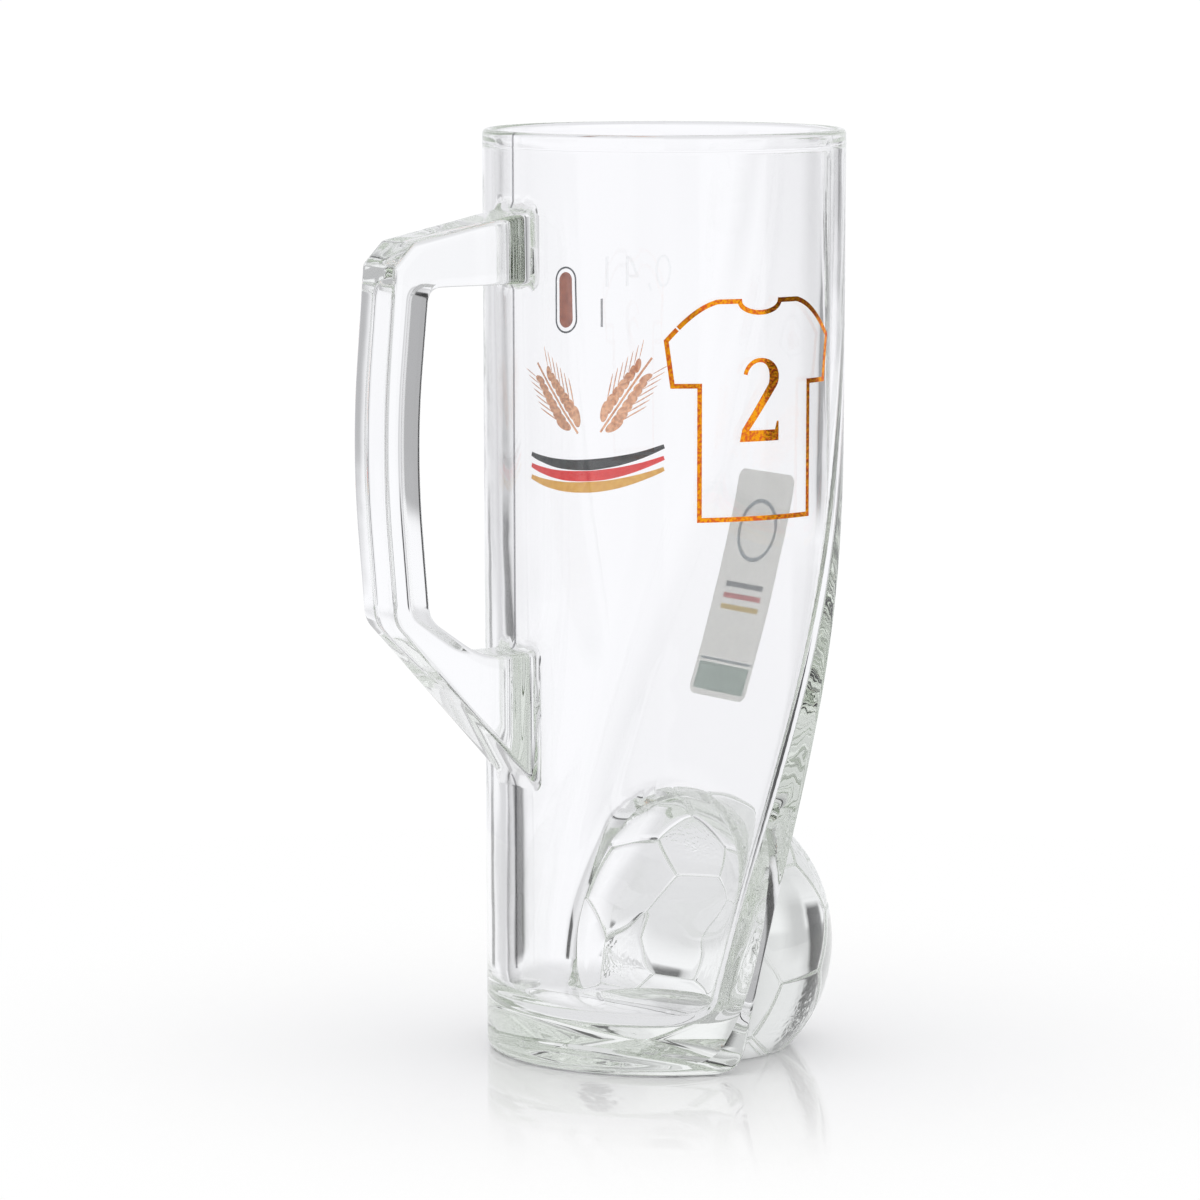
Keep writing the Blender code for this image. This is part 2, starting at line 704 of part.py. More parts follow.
def make_capacity_mark(relief):
    """Generic capacity mark in thin raised strokes, with a short upright fill line below it."""
    place = on_wall(MARK_AZIMUTH)
    base = HEIGHT - MARK_BASE_DROP
    half, tall = (MARK_DIGIT_WIDTH - MARK_LINE) / 2, MARK_DIGIT_HEIGHT - MARK_LINE

    def stroke(name, points, closed=False):
        ribbon(name, points, [MARK_LINE] * len(points), place, relief, closed)

    ring = arc((0.0, 0.0), 1.0, 0.0, 2 * math.pi, ROUND_STEPS)
    zero_u, comma_u, four_u = MARK_ZERO_PLACE, MARK_COMMA_PLACE, MARK_FOUR_PLACE
    stroke("mark_zero", [(zero_u + half * p.x, base + tall / 2 * (1 + p.y)) for p in ring], closed=True)
    stroke("mark_comma", [(comma_u, base + MARK_LINE), (comma_u - MARK_LINE, base + MARK_LINE - MARK_COMMA_LENGTH)])
    bar, post = base + MARK_FOUR_BAR_RISE, four_u + MARK_FOUR_POST
    four = [(post, base), (post, base + tall), (four_u - half, bar), (four_u + half + MARK_LINE, bar)]
    stroke("mark_four", four[:2])
    stroke("mark_four_arm", four_arm(four))
    litre_u = MARK_LITRE_PLACE
    stroke("mark_litre", [(litre_u, base), (litre_u, base + tall)])
    line_top = HEIGHT - FILL_LINE_DROP
    stroke("fill_line", [(FILL_LINE_PLACE, line_top), (FILL_LINE_PLACE, line_top - FILL_LINE_LENGTH)])


def four_arm(four):
    """Slanting arm of the four and its bar, stopped short of the post."""
    post, top = four[1]
    gap = MARK_LINE / 2 + CLEARANCE
    start = (post - gap, top)
    return [start, four[2], (post - gap, four[2][1])]


def make_label(paper, band, line, bars):
    """Label on the cut face with a ring, three bars, a rule and a foot band."""
    bottom = LABEL_TOP - LABEL_LENGTH
    corner = [LABEL_CORNER * (1 - math.cos(math.pi / 2 * i / FILLET_STEPS)) for i in range(1, FILLET_STEPS + 1)]
    straight = [point.x for point in divided([(LABEL_CORNER, 0.0), (LABEL_LENGTH - LABEL_CORNER, 0.0)])]
    stations = [0.0] + corner[:-1] + straight + [LABEL_LENGTH - c for c in corner[-2::-1]] + [LABEL_LENGTH]
    near_end = [min(s, LABEL_LENGTH - s) for s in stations]
    widths = [LABEL_WIDTH - 2 * round_inset(s, LABEL_CORNER) for s in near_end]
    path = [(0.0, LABEL_TOP - s) for s in stations]
    ribbon("label_panel", path, widths, on_cut(CLEARANCE), paper)
    place = on_cut(2 * CLEARANCE + LAYER)
    inner_width = LABEL_WIDTH - 2 * LABEL_MARGIN
    band_path = divided([(0.0, bottom + LABEL_BAND_LENGTH), (0.0, bottom + LABEL_MARGIN)])
    ribbon("label_foot_band", band_path, [inner_width] * len(band_path), place, band)
    rule = bottom + LABEL_BAND_LENGTH + LABEL_RULE_GAP
    rule_path = [(-inner_width / 2, rule), (inner_width / 2, rule)]
    ribbon("label_rule", rule_path, [LABEL_RULE] * 2, place, line)
    ring = arc((0.0, LABEL_TOP - RING_DROP), RING_RADIUS - RING_LINE / 2, 0.0, 2 * math.pi, ROUND_STEPS)
    ribbon("label_ring", ring, [RING_LINE] * len(ring), place, line, closed=True)
    for k, (name, finish) in enumerate(bars):
        v = LABEL_TOP - BAR_DROP - k * BAR_PITCH
        ribbon(name, [(-BAR_LENGTH / 2, v), (BAR_LENGTH / 2, v)], [BAR_WIDTH] * 2, place, finish)


def main():
    """Build every piece of the mug."""
    clear_scene()
    make_mug_body()
    make_football()
    make_handle()
    gold = material("gold_print", (0.55, 0.24, 0.03), 0.25, metallic=0.8)
    make_shirt(gold)
    make_number(gold)
    copper = material("copper_print", (0.62, 0.3, 0.12), 0.3, metallic=0.7)
    dark = material("dark_print", (0.03, 0.035, 0.04), 0.4)
    red = material("red_print", (0.62, 0.02, 0.02), 0.4)
    yellow = material("yellow_print", (0.75, 0.5, 0.05), 0.4)
    make_emblem(copper, (("ribbon_dark", dark), ("ribbon_red", red), ("ribbon_yellow", yellow)))
    grey = material("grey_print", (0.3, 0.32, 0.35), 0.5)
    make_badge(material("brown_enamel", (0.35, 0.12, 0.06), 0.35), grey)
    make_capacity_mark(material("relief_glass", (0.85, 0.88, 0.88), 0.2, transmission=0.8))
    paper = material("label_paper", (0.7, 0.7, 0.68), 0.55)
    band = material("label_green", (0.55, 0.63, 0.6), 0.55)
    make_label(paper, band, grey, (("bar_dark", dark), ("bar_red", red), ("bar_yellow", yellow)))


main()
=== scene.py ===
"""Studio picture of a clear glass beer mug with a half football seated in its scarf cut.

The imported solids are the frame. One fused glass stands for the wall, the ball and the handle, so that
light passes through it as through one pressed glass. The fired prints and the label lie on it as thin
layers of their own.
"""

from __future__ import annotations

import logging
import math
from dataclasses import dataclass
from enum import Enum
from typing import Callable, Sequence

import bmesh
import bpy
from mathutils import Matrix, Vector, noise

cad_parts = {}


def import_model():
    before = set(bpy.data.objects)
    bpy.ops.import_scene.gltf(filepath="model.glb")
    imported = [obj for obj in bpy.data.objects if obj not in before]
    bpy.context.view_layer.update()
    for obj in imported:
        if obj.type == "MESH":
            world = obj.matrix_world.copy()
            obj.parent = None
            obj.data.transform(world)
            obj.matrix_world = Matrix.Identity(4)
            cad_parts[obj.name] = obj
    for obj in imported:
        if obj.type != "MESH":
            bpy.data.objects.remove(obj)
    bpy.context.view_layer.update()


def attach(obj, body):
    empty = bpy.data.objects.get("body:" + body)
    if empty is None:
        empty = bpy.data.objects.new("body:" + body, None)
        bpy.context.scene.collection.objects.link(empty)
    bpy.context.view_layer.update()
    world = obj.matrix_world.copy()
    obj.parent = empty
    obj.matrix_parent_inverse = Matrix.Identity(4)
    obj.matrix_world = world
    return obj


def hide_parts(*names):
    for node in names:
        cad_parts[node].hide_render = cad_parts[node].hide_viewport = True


LOG = logging.getLogger("beer_mug")
ROOT = "root"
Colour = tuple[float, float, float]
Ring = tuple[list[Vector], float]
Socket = bpy.types.NodeSocket
Stops = Sequence[tuple[float, Colour]]
MITRE_LIMIT = 0.3


class Operation(Enum):
    """Ways to combine two closed meshes."""

    UNION = "UNION"
    INTERSECT = "INTERSECT"
    DIFFERENCE = "DIFFERENCE"


class Panel(Enum):
    """Kinds of panel on the ball."""

    STIPPLED = 5
    SMOOTH = 6


def smooth(low: float, high: float, value: float) -> float:
    """Step smoothly from 0 at a low value to 1 at a high one."""
    t = min(max((value - low) / (high - low), 0.0), 1.0)
    return t * t * (3.0 - 2.0 * t)


def greater(first: float, second: float, ease: float) -> float:
    """Greater of two values, eased where they are close."""
    close = max(ease - abs(first - second), 0.0)
    return max(first, second) + close**2 / (4 * ease)


def fillet(before: Vector, corner: Vector, after: Vector, radius: float, steps: int) -> list[Vector]:
    """Round the corner of a polyline.

    Args:
        before: Point ahead of the corner.
        corner: The corner itself.
        after: Point past the corner.
        radius: Radius of the rounding.
        steps: Pieces of the rounding.

    Returns:
        Points from the start of the rounding to its end.
    """
    back, ahead = before - corner, after - corner
    run = min(radius / math.tan(back.angle(ahead) / 2), back.length / 2, ahead.length / 2)
    start, end = corner + back.normalized() * run, corner + ahead.normalized() * run
    shares = [i / steps for i in range(steps + 1)]
    return [start * (1 - t) ** 2 + corner * 2 * t * (1 - t) + end * t * t for t in shares]


def resample(points: Sequence[Vector], shares: Sequence[float]) -> list[Vector]:
    """Find the points at given shares of a polyline's length.

    Args:
        points: The polyline.
        shares: Shares of its length, each from 0 to 1.

    Returns:
        One point for each share.
    """
    runs = [0.0]
    for first, last in zip(points, points[1:]):
        runs.append(runs[-1] + (last - first).length)
    found = []
    for share in shares:
        aim = share * runs[-1]
        i = next((k for k in range(1, len(runs) - 1) if runs[k] >= aim), len(runs) - 1)
        span = max(runs[i] - runs[i - 1], 1e-12)
        found.append(points[i - 1].lerp(points[i], (aim - runs[i - 1]) / span))
    return found


def skin(made: bmesh.types.BMesh, loops: Sequence[Sequence[bmesh.types.BMVert]]) -> None:
    """Join closed loops of vertices one after another.

    Args:
        made: The mesh.
        loops: Its loops, each with as many vertices as the next.
    """
    for lower, upper in zip(loops, loops[1:]):
        for i, vert in enumerate(lower):
            made.faces.new((lower[i - 1], vert, upper[i], upper[i - 1]))


def bridge(made: bmesh.types.BMesh, loops: Sequence[Sequence[bmesh.types.BMVert]]) -> None:
    """Join closed loops of vertices one after another and close both ends.

    Args:
        made: The mesh.
        loops: Its loops, each with as many vertices as the next.
    """
    skin(made, loops)
    made.faces.new(reversed(loops[0]))
    made.faces.new(loops[-1])


def mesh_object(name: str, made: bmesh.types.BMesh) -> bpy.types.Object:
    """Turn a bmesh into an object of the scene with its faces pointing out.

    Args:
        name: Name of the object and its mesh.
        made: The bmesh, which is used up.

    Returns:
        The object.
    """
    bmesh.ops.recalc_face_normals(made, faces=made.faces)
    mesh = bpy.data.meshes.new(name)
    made.to_mesh(mesh)
    made.free()
    item = bpy.data.objects.new(name, mesh)
    bpy.context.scene.collection.objects.link(item)
    return item


def baked(item: bpy.types.Object) -> None:
    """Keep an object's evaluated mesh in place of its modifiers.

    Args:
        item: The object.
    """
    graph = bpy.context.evaluated_depsgraph_get()
    graph.update()
    mesh = bpy.data.meshes.new_from_object(item.evaluated_get(graph))
    item.modifiers.clear()
    old, item.data = item.data, mesh
    name = old.name
    bpy.data.meshes.remove(old)
    mesh.name = name


def combine(base: bpy.types.Object, tool: bpy.types.Object, operation: Operation) -> None:
    """Combine a closed mesh with a second one.

    Args:
        base: The mesh that is kept.
        tool: The second mesh, which is used up.
        operation: How they are combined.
    """
    step = base.modifiers.new(operation.value, "BOOLEAN")
    step.operation, step.solver, step.object = operation.value, "EXACT", tool
    baked(base)
    bpy.data.objects.remove(tool, do_unlink=True)


def shaded(item: bpy.types.Object, sharp: float) -> None:
    """Shade a mesh smooth, apart from edges over a sharp angle."""
    item.data.shade_smooth()
    item.data.set_sharp_from_angle(angle=sharp)


class NodeSheet:
    """Adds nodes to a tree and links them."""

    def __init__(self, tree: bpy.types.NodeTree) -> None:
        """Work on one node tree."""
        self.tree = tree

    def add(self, kind: str, **settings: object) -> bpy.types.Node:
        """Add a node and set its properties.

        Args:
            kind: Type name of the node.
            settings: Property values.

        Returns:
            The new node.
        """
        node = self.tree.nodes.new(kind)
        for key, value in settings.items():
            setattr(node, key, value)
        return node

    def join(self, *pairs: tuple[Socket, Socket]) -> None:
        """Link outputs to inputs."""
        for output, target in pairs:
            self.tree.links.new(output, target)

    def maths(self, operation: str, *values: Socket | float) -> Socket:
        """Add a Math node on sockets and numbers.

        Args:
            operation: Name of the operation.
            values: Sockets or numbers for its inputs.

        Returns:
            The result's socket.
        """
        node = self.add("ShaderNodeMath", operation=operation)
        for slot, value in zip(node.inputs, values):
            if isinstance(value, Socket):
                self.join((value, slot))
            else:
                slot.default_value = value
        return node.outputs[0]

    def ramp(self, factor: Socket, stops: Stops, mode: str) -> Socket:
        """Add a colour ramp.

        Args:
            factor: Socket that drives the ramp.
            stops: Places and colours.
            mode: Interpolation between the stops.

        Returns:
            The colour's socket.
        """
        node = self.add("ShaderNodeValToRGB")
        band = node.color_ramp
        band.interpolation = mode
        while len(band.elements) < len(stops):
            band.elements.new(0.5)
        for element, (place, colour) in zip(band.elements, stops):
            element.position = place
            element.color = (*colour, 1.0)
        self.join((factor, node.inputs["Fac"]))
        return node.outputs["Color"]

    def ease(self, value: Socket, run: tuple[float, float], ends: tuple[float, float] = (0.0, 1.0)) -> Socket:
        """Add a smooth step.

        Args:
            value: Socket that drives the step.
            run: Values at which the step starts and ends.
            ends: Results at its start and its end.

        Returns:
            The result's socket.
        """
        node = self.add("ShaderNodeMapRange", interpolation_type="SMOOTHSTEP")
        for key, number in zip(("From Min", "From Max", "To Min", "To Max"), (*run, *ends)):
            node.inputs[key].default_value = number
        self.join((value, node.inputs["Value"]))
        return node.outputs["Result"]

    def grain(self, scale: float, detail: float = 2.0) -> Socket:
        """Add noise in the piece's own coordinates.

        Args:
            scale: Scale of the noise.
            detail: Its levels of detail.

        Returns:
            The strength's socket.
        """
        where, node = self.add("ShaderNodeTexCoord"), self.add("ShaderNodeTexNoise")
        node.inputs["Scale"].default_value = scale
        node.inputs["Detail"].default_value = detail
        self.join((where.outputs["Object"], node.inputs["Vector"]))
        return node.outputs["Fac"]

    def bump(self, height: Socket, distance: float, strength: float = 1.0) -> Socket:
        """Add a bump.

        Args:
            height: Socket that gives its height.
            distance: Height of the highest places.
            strength: How much of it shows.

        Returns:
            The normal's socket.
        """
        node = self.add("ShaderNodeBump")
        node.inputs["Distance"].default_value = distance
        node.inputs["Strength"].default_value = strength
        self.join((height, node.inputs["Height"]))
        return node.outputs["Normal"]

    def from_axis(self, place: Socket) -> Socket:
        """Measure how far a place is from the upright axis.

        Args:
            place: The place.

        Returns:
            The distance's socket.
        """
        flat = self.add("ShaderNodeVectorMath", operation="MULTIPLY")
        flat.inputs[1].default_value = (1.0, 1.0, 0.0)
        reach = self.add("ShaderNodeVectorMath", operation="LENGTH")
        self.join((place, flat.inputs[0]), (flat.outputs["Vector"], reach.inputs[0]))
        return reach.outputs["Value"]


def new_material(
    name: str, levels: dict[str, float]
) -> tuple[bpy.types.Material, NodeSheet, bpy.types.Node]:
    """Start a material.

    Args:
        name: The material's name.
        levels: Numbers for the sockets of its shader.

    Returns:
        The material, its node sheet and its shader node.
    """
    made = bpy.data.materials.new(name)
    made.use_nodes = True
    shader = made.node_tree.nodes["Principled BSDF"]
    for key, level in levels.items():
        shader.inputs[key].default_value = level
    return made, NodeSheet(made.node_tree), shader


@dataclass(frozen=True)
class GlassFinish:
    """Clear pressed glass whose tint deepens with its thickness."""

    name: str = "pressed_glass"
    colour: Colour = (1.0, 1.0, 1.0)
    tint: Colour = (0.834, 0.875, 0.805)
    density: float = 8.0
    ior: float = 1.5
    ripple_scale: float = 70.0
    ripple_detail: float = 1.5
    ripple: float = 0.00004
    # The line that the mould left down the wall. Its dark colour is painted shade, since the clear glass has
    # none.
    seam_shade_colour: Colour = (0.14, 0.14, 0.15)
    seam_place: float = -0.0001
    seam_half_width: float = 0.00045
    seam_depth: float = 0.0366
    seam_reach: float = 0.0385
    seam_foot: float = 0.02
    seam_core: float = 0.5

    def painted_seam_shade(self, sheet: NodeSheet, place: Socket) -> Socket:
        """Paint shade on the line that the mould left down the wall's outside, at the handle, by darkening the
        glass's colour.

        Args:
            sheet: Nodes of the material.
            place: Place on the piece.

        Returns:
            The colour of the surface, with the painted shade on the seam.
        """
        apart = sheet.add("ShaderNodeSeparateXYZ")
        sheet.join((place, apart.inputs["Vector"]))
        reach = sheet.from_axis(place)
        aside = sheet.maths("ABSOLUTE", sheet.maths("SUBTRACT", apart.outputs["Y"], self.seam_place))
        share = sheet.maths("SUBTRACT", 1.0, sheet.maths("DIVIDE", aside, self.seam_half_width))
        share = sheet.maths("MAXIMUM", share, 0.0)
        for test, value, limit in (
            ("GREATER_THAN", reach, self.seam_depth),
            ("LESS_THAN", reach, self.seam_reach),
            ("LESS_THAN", apart.outputs["X"], 0.0),
            ("GREATER_THAN", apart.outputs["Z"], self.seam_foot),
        ):
            share = sheet.maths("MULTIPLY", share, sheet.maths(test, value, limit))
        # The glass turns dark on the seam: painted shade.
        return sheet.ramp(share, ((0.0, self.colour), (self.seam_core, self.seam_shade_colour)), "LINEAR")

    def material(self) -> bpy.types.Material:
        """Make the glass with faint ripples and painted shade on the seam from the mould.

        Returns:
            The material.
        """
        levels = {"Roughness": 0.0, "IOR": self.ior, "Transmission Weight": 1.0}
        made, sheet, shader = new_material(self.name, levels)
        place = sheet.add("ShaderNodeTexCoord").outputs["Object"]
        inside = sheet.add("ShaderNodeVolumeAbsorption")
        inside.inputs["Color"].default_value = (*self.tint, 1.0)
        inside.inputs["Density"].default_value = self.density
        ripples = sheet.grain(self.ripple_scale, self.ripple_detail)
        sheet.join(
            (self.painted_seam_shade(sheet, place), shader.inputs["Base Color"]),
            (sheet.bump(ripples, self.ripple), shader.inputs["Normal"]),
            (inside.outputs["Volume"], made.node_tree.nodes["Material Output"].inputs["Volume"]),
        )
        return made


@dataclass(frozen=True)
class LustreFinish:
    """Fired metal lustre, mottled where it was laid thin."""

    name: str
    light: Colour
    deep: Colour
    roughness: float = 0.1
    mottle_scale: float = 1500.0
    mottle_detail: float = 4.0
    deep_share: float = 0.38
    light_share: float = 0.58
    relief: float = 0.00003
    relief_strength: float = 0.6

    def material(self) -> bpy.types.Material:
        """Make the lustre with its mottling.

        Returns:
            The material.
        """
        made, sheet, shader = new_material(self.name, {"Metallic": 1.0, "Roughness": self.roughness})
        mottle = sheet.grain(self.mottle_scale, self.mottle_detail)
        colour = sheet.ramp(mottle, ((self.deep_share, self.deep), (self.light_share, self.light)), "EASE")
        relief = sheet.bump(mottle, self.relief, self.relief_strength)
        sheet.join((colour, shader.inputs["Base Color"]), (relief, shader.inputs["Normal"]))
        return made


@dataclass(frozen=True)
class EnamelFinish:
    """Fired enamel colour with a faint uneven tone."""

    name: str
    colour: Colour
    shade: Colour
    through: float = 0.0
    roughness: float = 0.35
    ior: float = 1.3
    grain_scale: float = 900.0
    grain_detail: float = 3.0
    shade_share: float = 0.35
    colour_share: float = 0.65

    def material(self) -> bpy.types.Material:
        """Make the colour with its uneven tone.

        Returns:
            The material.
        """
        levels = {"Roughness": self.roughness, "IOR": self.ior, "Transmission Weight": self.through}
        made, sheet, shader = new_material(self.name, levels)
        grain = sheet.grain(self.grain_scale, self.grain_detail)
        stops = ((self.shade_share, self.shade), (self.colour_share, self.colour))
        sheet.join((sheet.ramp(grain, stops, "LINEAR"), shader.inputs["Base Color"]))
        return made


@dataclass(frozen=True)
class PaperFinish(EnamelFinish):
    """Thin label film, or ink on it, that lets some light through."""

    through: float = 0.9
    roughness: float = 0.6
    grain_scale: float = 1200.0
    grain_detail: float = 5.0


@dataclass(frozen=True)
class ReliefFinish:
    """Raised strokes of the same glass, faintly frosted."""

    name: str = "relief_glass"
    colour: Colour = (0.97, 0.98, 0.98)
    roughness: float = 0.18
    ior: float = 1.5
    grain_scale: float = 2500.0
    grain_depth: float = 0.00002

    def material(self) -> bpy.types.Material:
        """Make the frosted glass with its fine grain.

        Returns:
            The material.
        """
        levels = {"Roughness": self.roughness, "IOR": self.ior, "Transmission Weight": 1.0}
        made, sheet, shader = new_material(self.name, levels)
        shader.inputs["Base Color"].default_value = (*self.colour, 1.0)
        sheet.join((sheet.bump(sheet.grain(self.grain_scale), self.grain_depth), shader.inputs["Normal"]))
        return made


@dataclass(frozen=True)
class MugShape:
    """Outer and inner surfaces of the round wall and of the scarf cut, in metres."""

    # The round wall and the floor.
    height: float = 0.194
    rim_radius: float = 0.038
    foot_radius: float = 0.0373
    wall: float = 0.003
    rim_wall: float = 0.0021
    rim_wall_run: float = 0.08
    floor: float = 0.009
    floor_fillet: float = 0.007
    heel: float = 0.002
    rim_band: float = 0.005
    # The scarf cut: a curve from past the axis at the foot to the wall below the rim.
    cut_top_depth: float = 0.0014
    foot_past_axis: float = 0.0055
    foot_rise: float = 0.069
    foot_out: float = 0.0135
    top_fall: float = 0.0946
    top_in: float = 0.0027
    ledge: float = 0.0008
    cut_heel: float = 0.005
    # Edges between the cut face and the round wall. The far one is softer.
    foot_edge: float = 0.0014
    upper_edge: float = 0.004
    edge_run: float = 0.06
    edge_start: float = 0.09
    far_edge: float = 0.018
    far_run: float = 0.0075
    # Glass behind the cut, and the wall's growth towards the foot.
    cut_glass: float = 0.003
    cut_glass_run: float = 0.05
    low_wall: float = 0.0045
    low_wall_start: float = 0.04
    low_wall_end: float = 0.12
    inner_corner: float = 0.006
    # The ball.
    ball_radius: float = 0.0325
    ball_inset: float = 0.0007
    ball_height: float = 0.0222
    ball_shell: float = 0.003
    ball_blend: float = 0.0056
    # The hollow behind the ball: a slanting shelf with a belly over it.
    shelf_start: float = -0.0018
    shelf_slope: float = 0.274
    belly_reach: float = 0.016
    belly_height: float = 0.0359
    belly_fall: float = 0.294
    belly_crest: float = 0.006
    belly_upper: float = 0.0194
    belly_lower: float = 0.0076
    belly_blend: float = 0.0043
    belly_ease: float = 0.003
    search_steps: int = 40

    @property
    def cut_top(self) -> float:
        """Height of the cut's upper edge."""
        return self.height - self.rim_band

    def wall_radius(self, z: float) -> float:
        """Outer radius of the round wall at a height."""
        return self.foot_radius + (self.rim_radius - self.foot_radius) * z / self.height

    def wall_at(self, z: float) -> float:
        """Thickness of the round wall, which thins towards the rim."""
        upper = self.rim_wall + (self.wall - self.rim_wall) * smooth(0.0, self.rim_wall_run, self.height - z)
        return upper + self.thickening(z)

    def thickening(self, z: float) -> float:
        """Growth of the wall towards the foot."""
        return (self.low_wall - self.wall) * (1 - smooth(self.low_wall_start, self.low_wall_end, z))

    def edge_at(self, z: float) -> float:
        """Radius of the edges between the cut face and the round wall."""
        share = smooth(self.edge_start, self.edge_start + self.edge_run, z)
        return self.foot_edge + (self.upper_edge - self.foot_edge) * share

    def cut_offset(self, z: float) -> float:
        """Find how far the cut face is from the axis.

        Args:
            z: Height.

        Returns:
            The distance, below zero past the axis.
        """
        top = self.rim_radius - self.cut_top_depth
        heights = (0.0, self.foot_rise, self.cut_top - self.top_fall, self.cut_top)
        offsets = (-self.foot_past_axis, self.foot_out - self.foot_past_axis, top - self.top_in, top)

        def curve(values: Sequence[float], t: float) -> float:
            """Value of a cubic curve at a share of its run."""
            s = 1.0 - t
            return s**3 * values[0] + 3 * s * s * t * values[1] + 3 * s * t * t * values[2] + t**3 * values[3]

        low, high = 0.0, 1.0
        for _ in range(self.search_steps):
            middle = (low + high) / 2
            if curve(heights, middle) < z:
                low = middle
            else:
                high = middle
        return curve(offsets, low)

    def glass_behind_cut(self, z: float) -> float:
        """Thickness behind the cut face, which thins out towards the cut's upper edge."""
        share = smooth(0.0, self.cut_glass_run, self.cut_top - z)
        return self.rim_wall + (self.cut_glass - self.rim_wall) * share + self.thickening(z)

    @property
    def ball_middle(self) -> float:
        """Distance of the ball's middle from the axis."""
        return self.foot_radius - self.ball_inset - self.ball_radius

    def hollow_at(self, z: float) -> Callable[[float, float], float]:
        """Inside of the glass at a height.

        Args:
            z: Height.

        Returns:
            A function of the place across that height, below zero inside the hollow and growing outwards.
            The hollow is round, flat behind the cut and bellied behind the ball, over a slanting shelf.
        """
        flat = self.cut_offset(z) - self.glass_behind_cut(z)
        radius = self.wall_radius(z) - self.wall_at(z)
        shelf = self.shelf_start + self.shelf_slope * z
        rise = self.belly_upper if z > self.belly_height else self.belly_lower
        crest = self.belly_reach - (z - self.belly_height) ** 2 / (2 * rise)
        middle = Vector((self.ball_middle, 0.0, self.ball_height))

        def field(x: float, y: float) -> float:
            """Measure how far a place is from the inside of the glass, about.

            Args:
                x: Place along the ball's side of the mug.
                y: Place across it.

            Returns:
                The distance, below zero in the hollow.
            """
            belly = crest - self.belly_fall * (math.hypot(y, self.belly_crest) - self.belly_crest)
            ball = (Vector((x, y, z)) - middle).length - (self.ball_radius - self.ball_shell)
            front = -greater(flat - x, -ball, self.ball_blend)
            front = greater(front, x - greater(shelf, belly, self.belly_blend), self.belly_ease)
            return greater(math.hypot(x, y) - radius, front, self.inner_corner)

        return field

    @staticmethod
    def rounding(z: float, radius: float) -> float:
        """How far a rounded lower edge draws in at a height."""
        return radius - math.sqrt(radius**2 - (radius - z) ** 2) if z < radius else 0.0


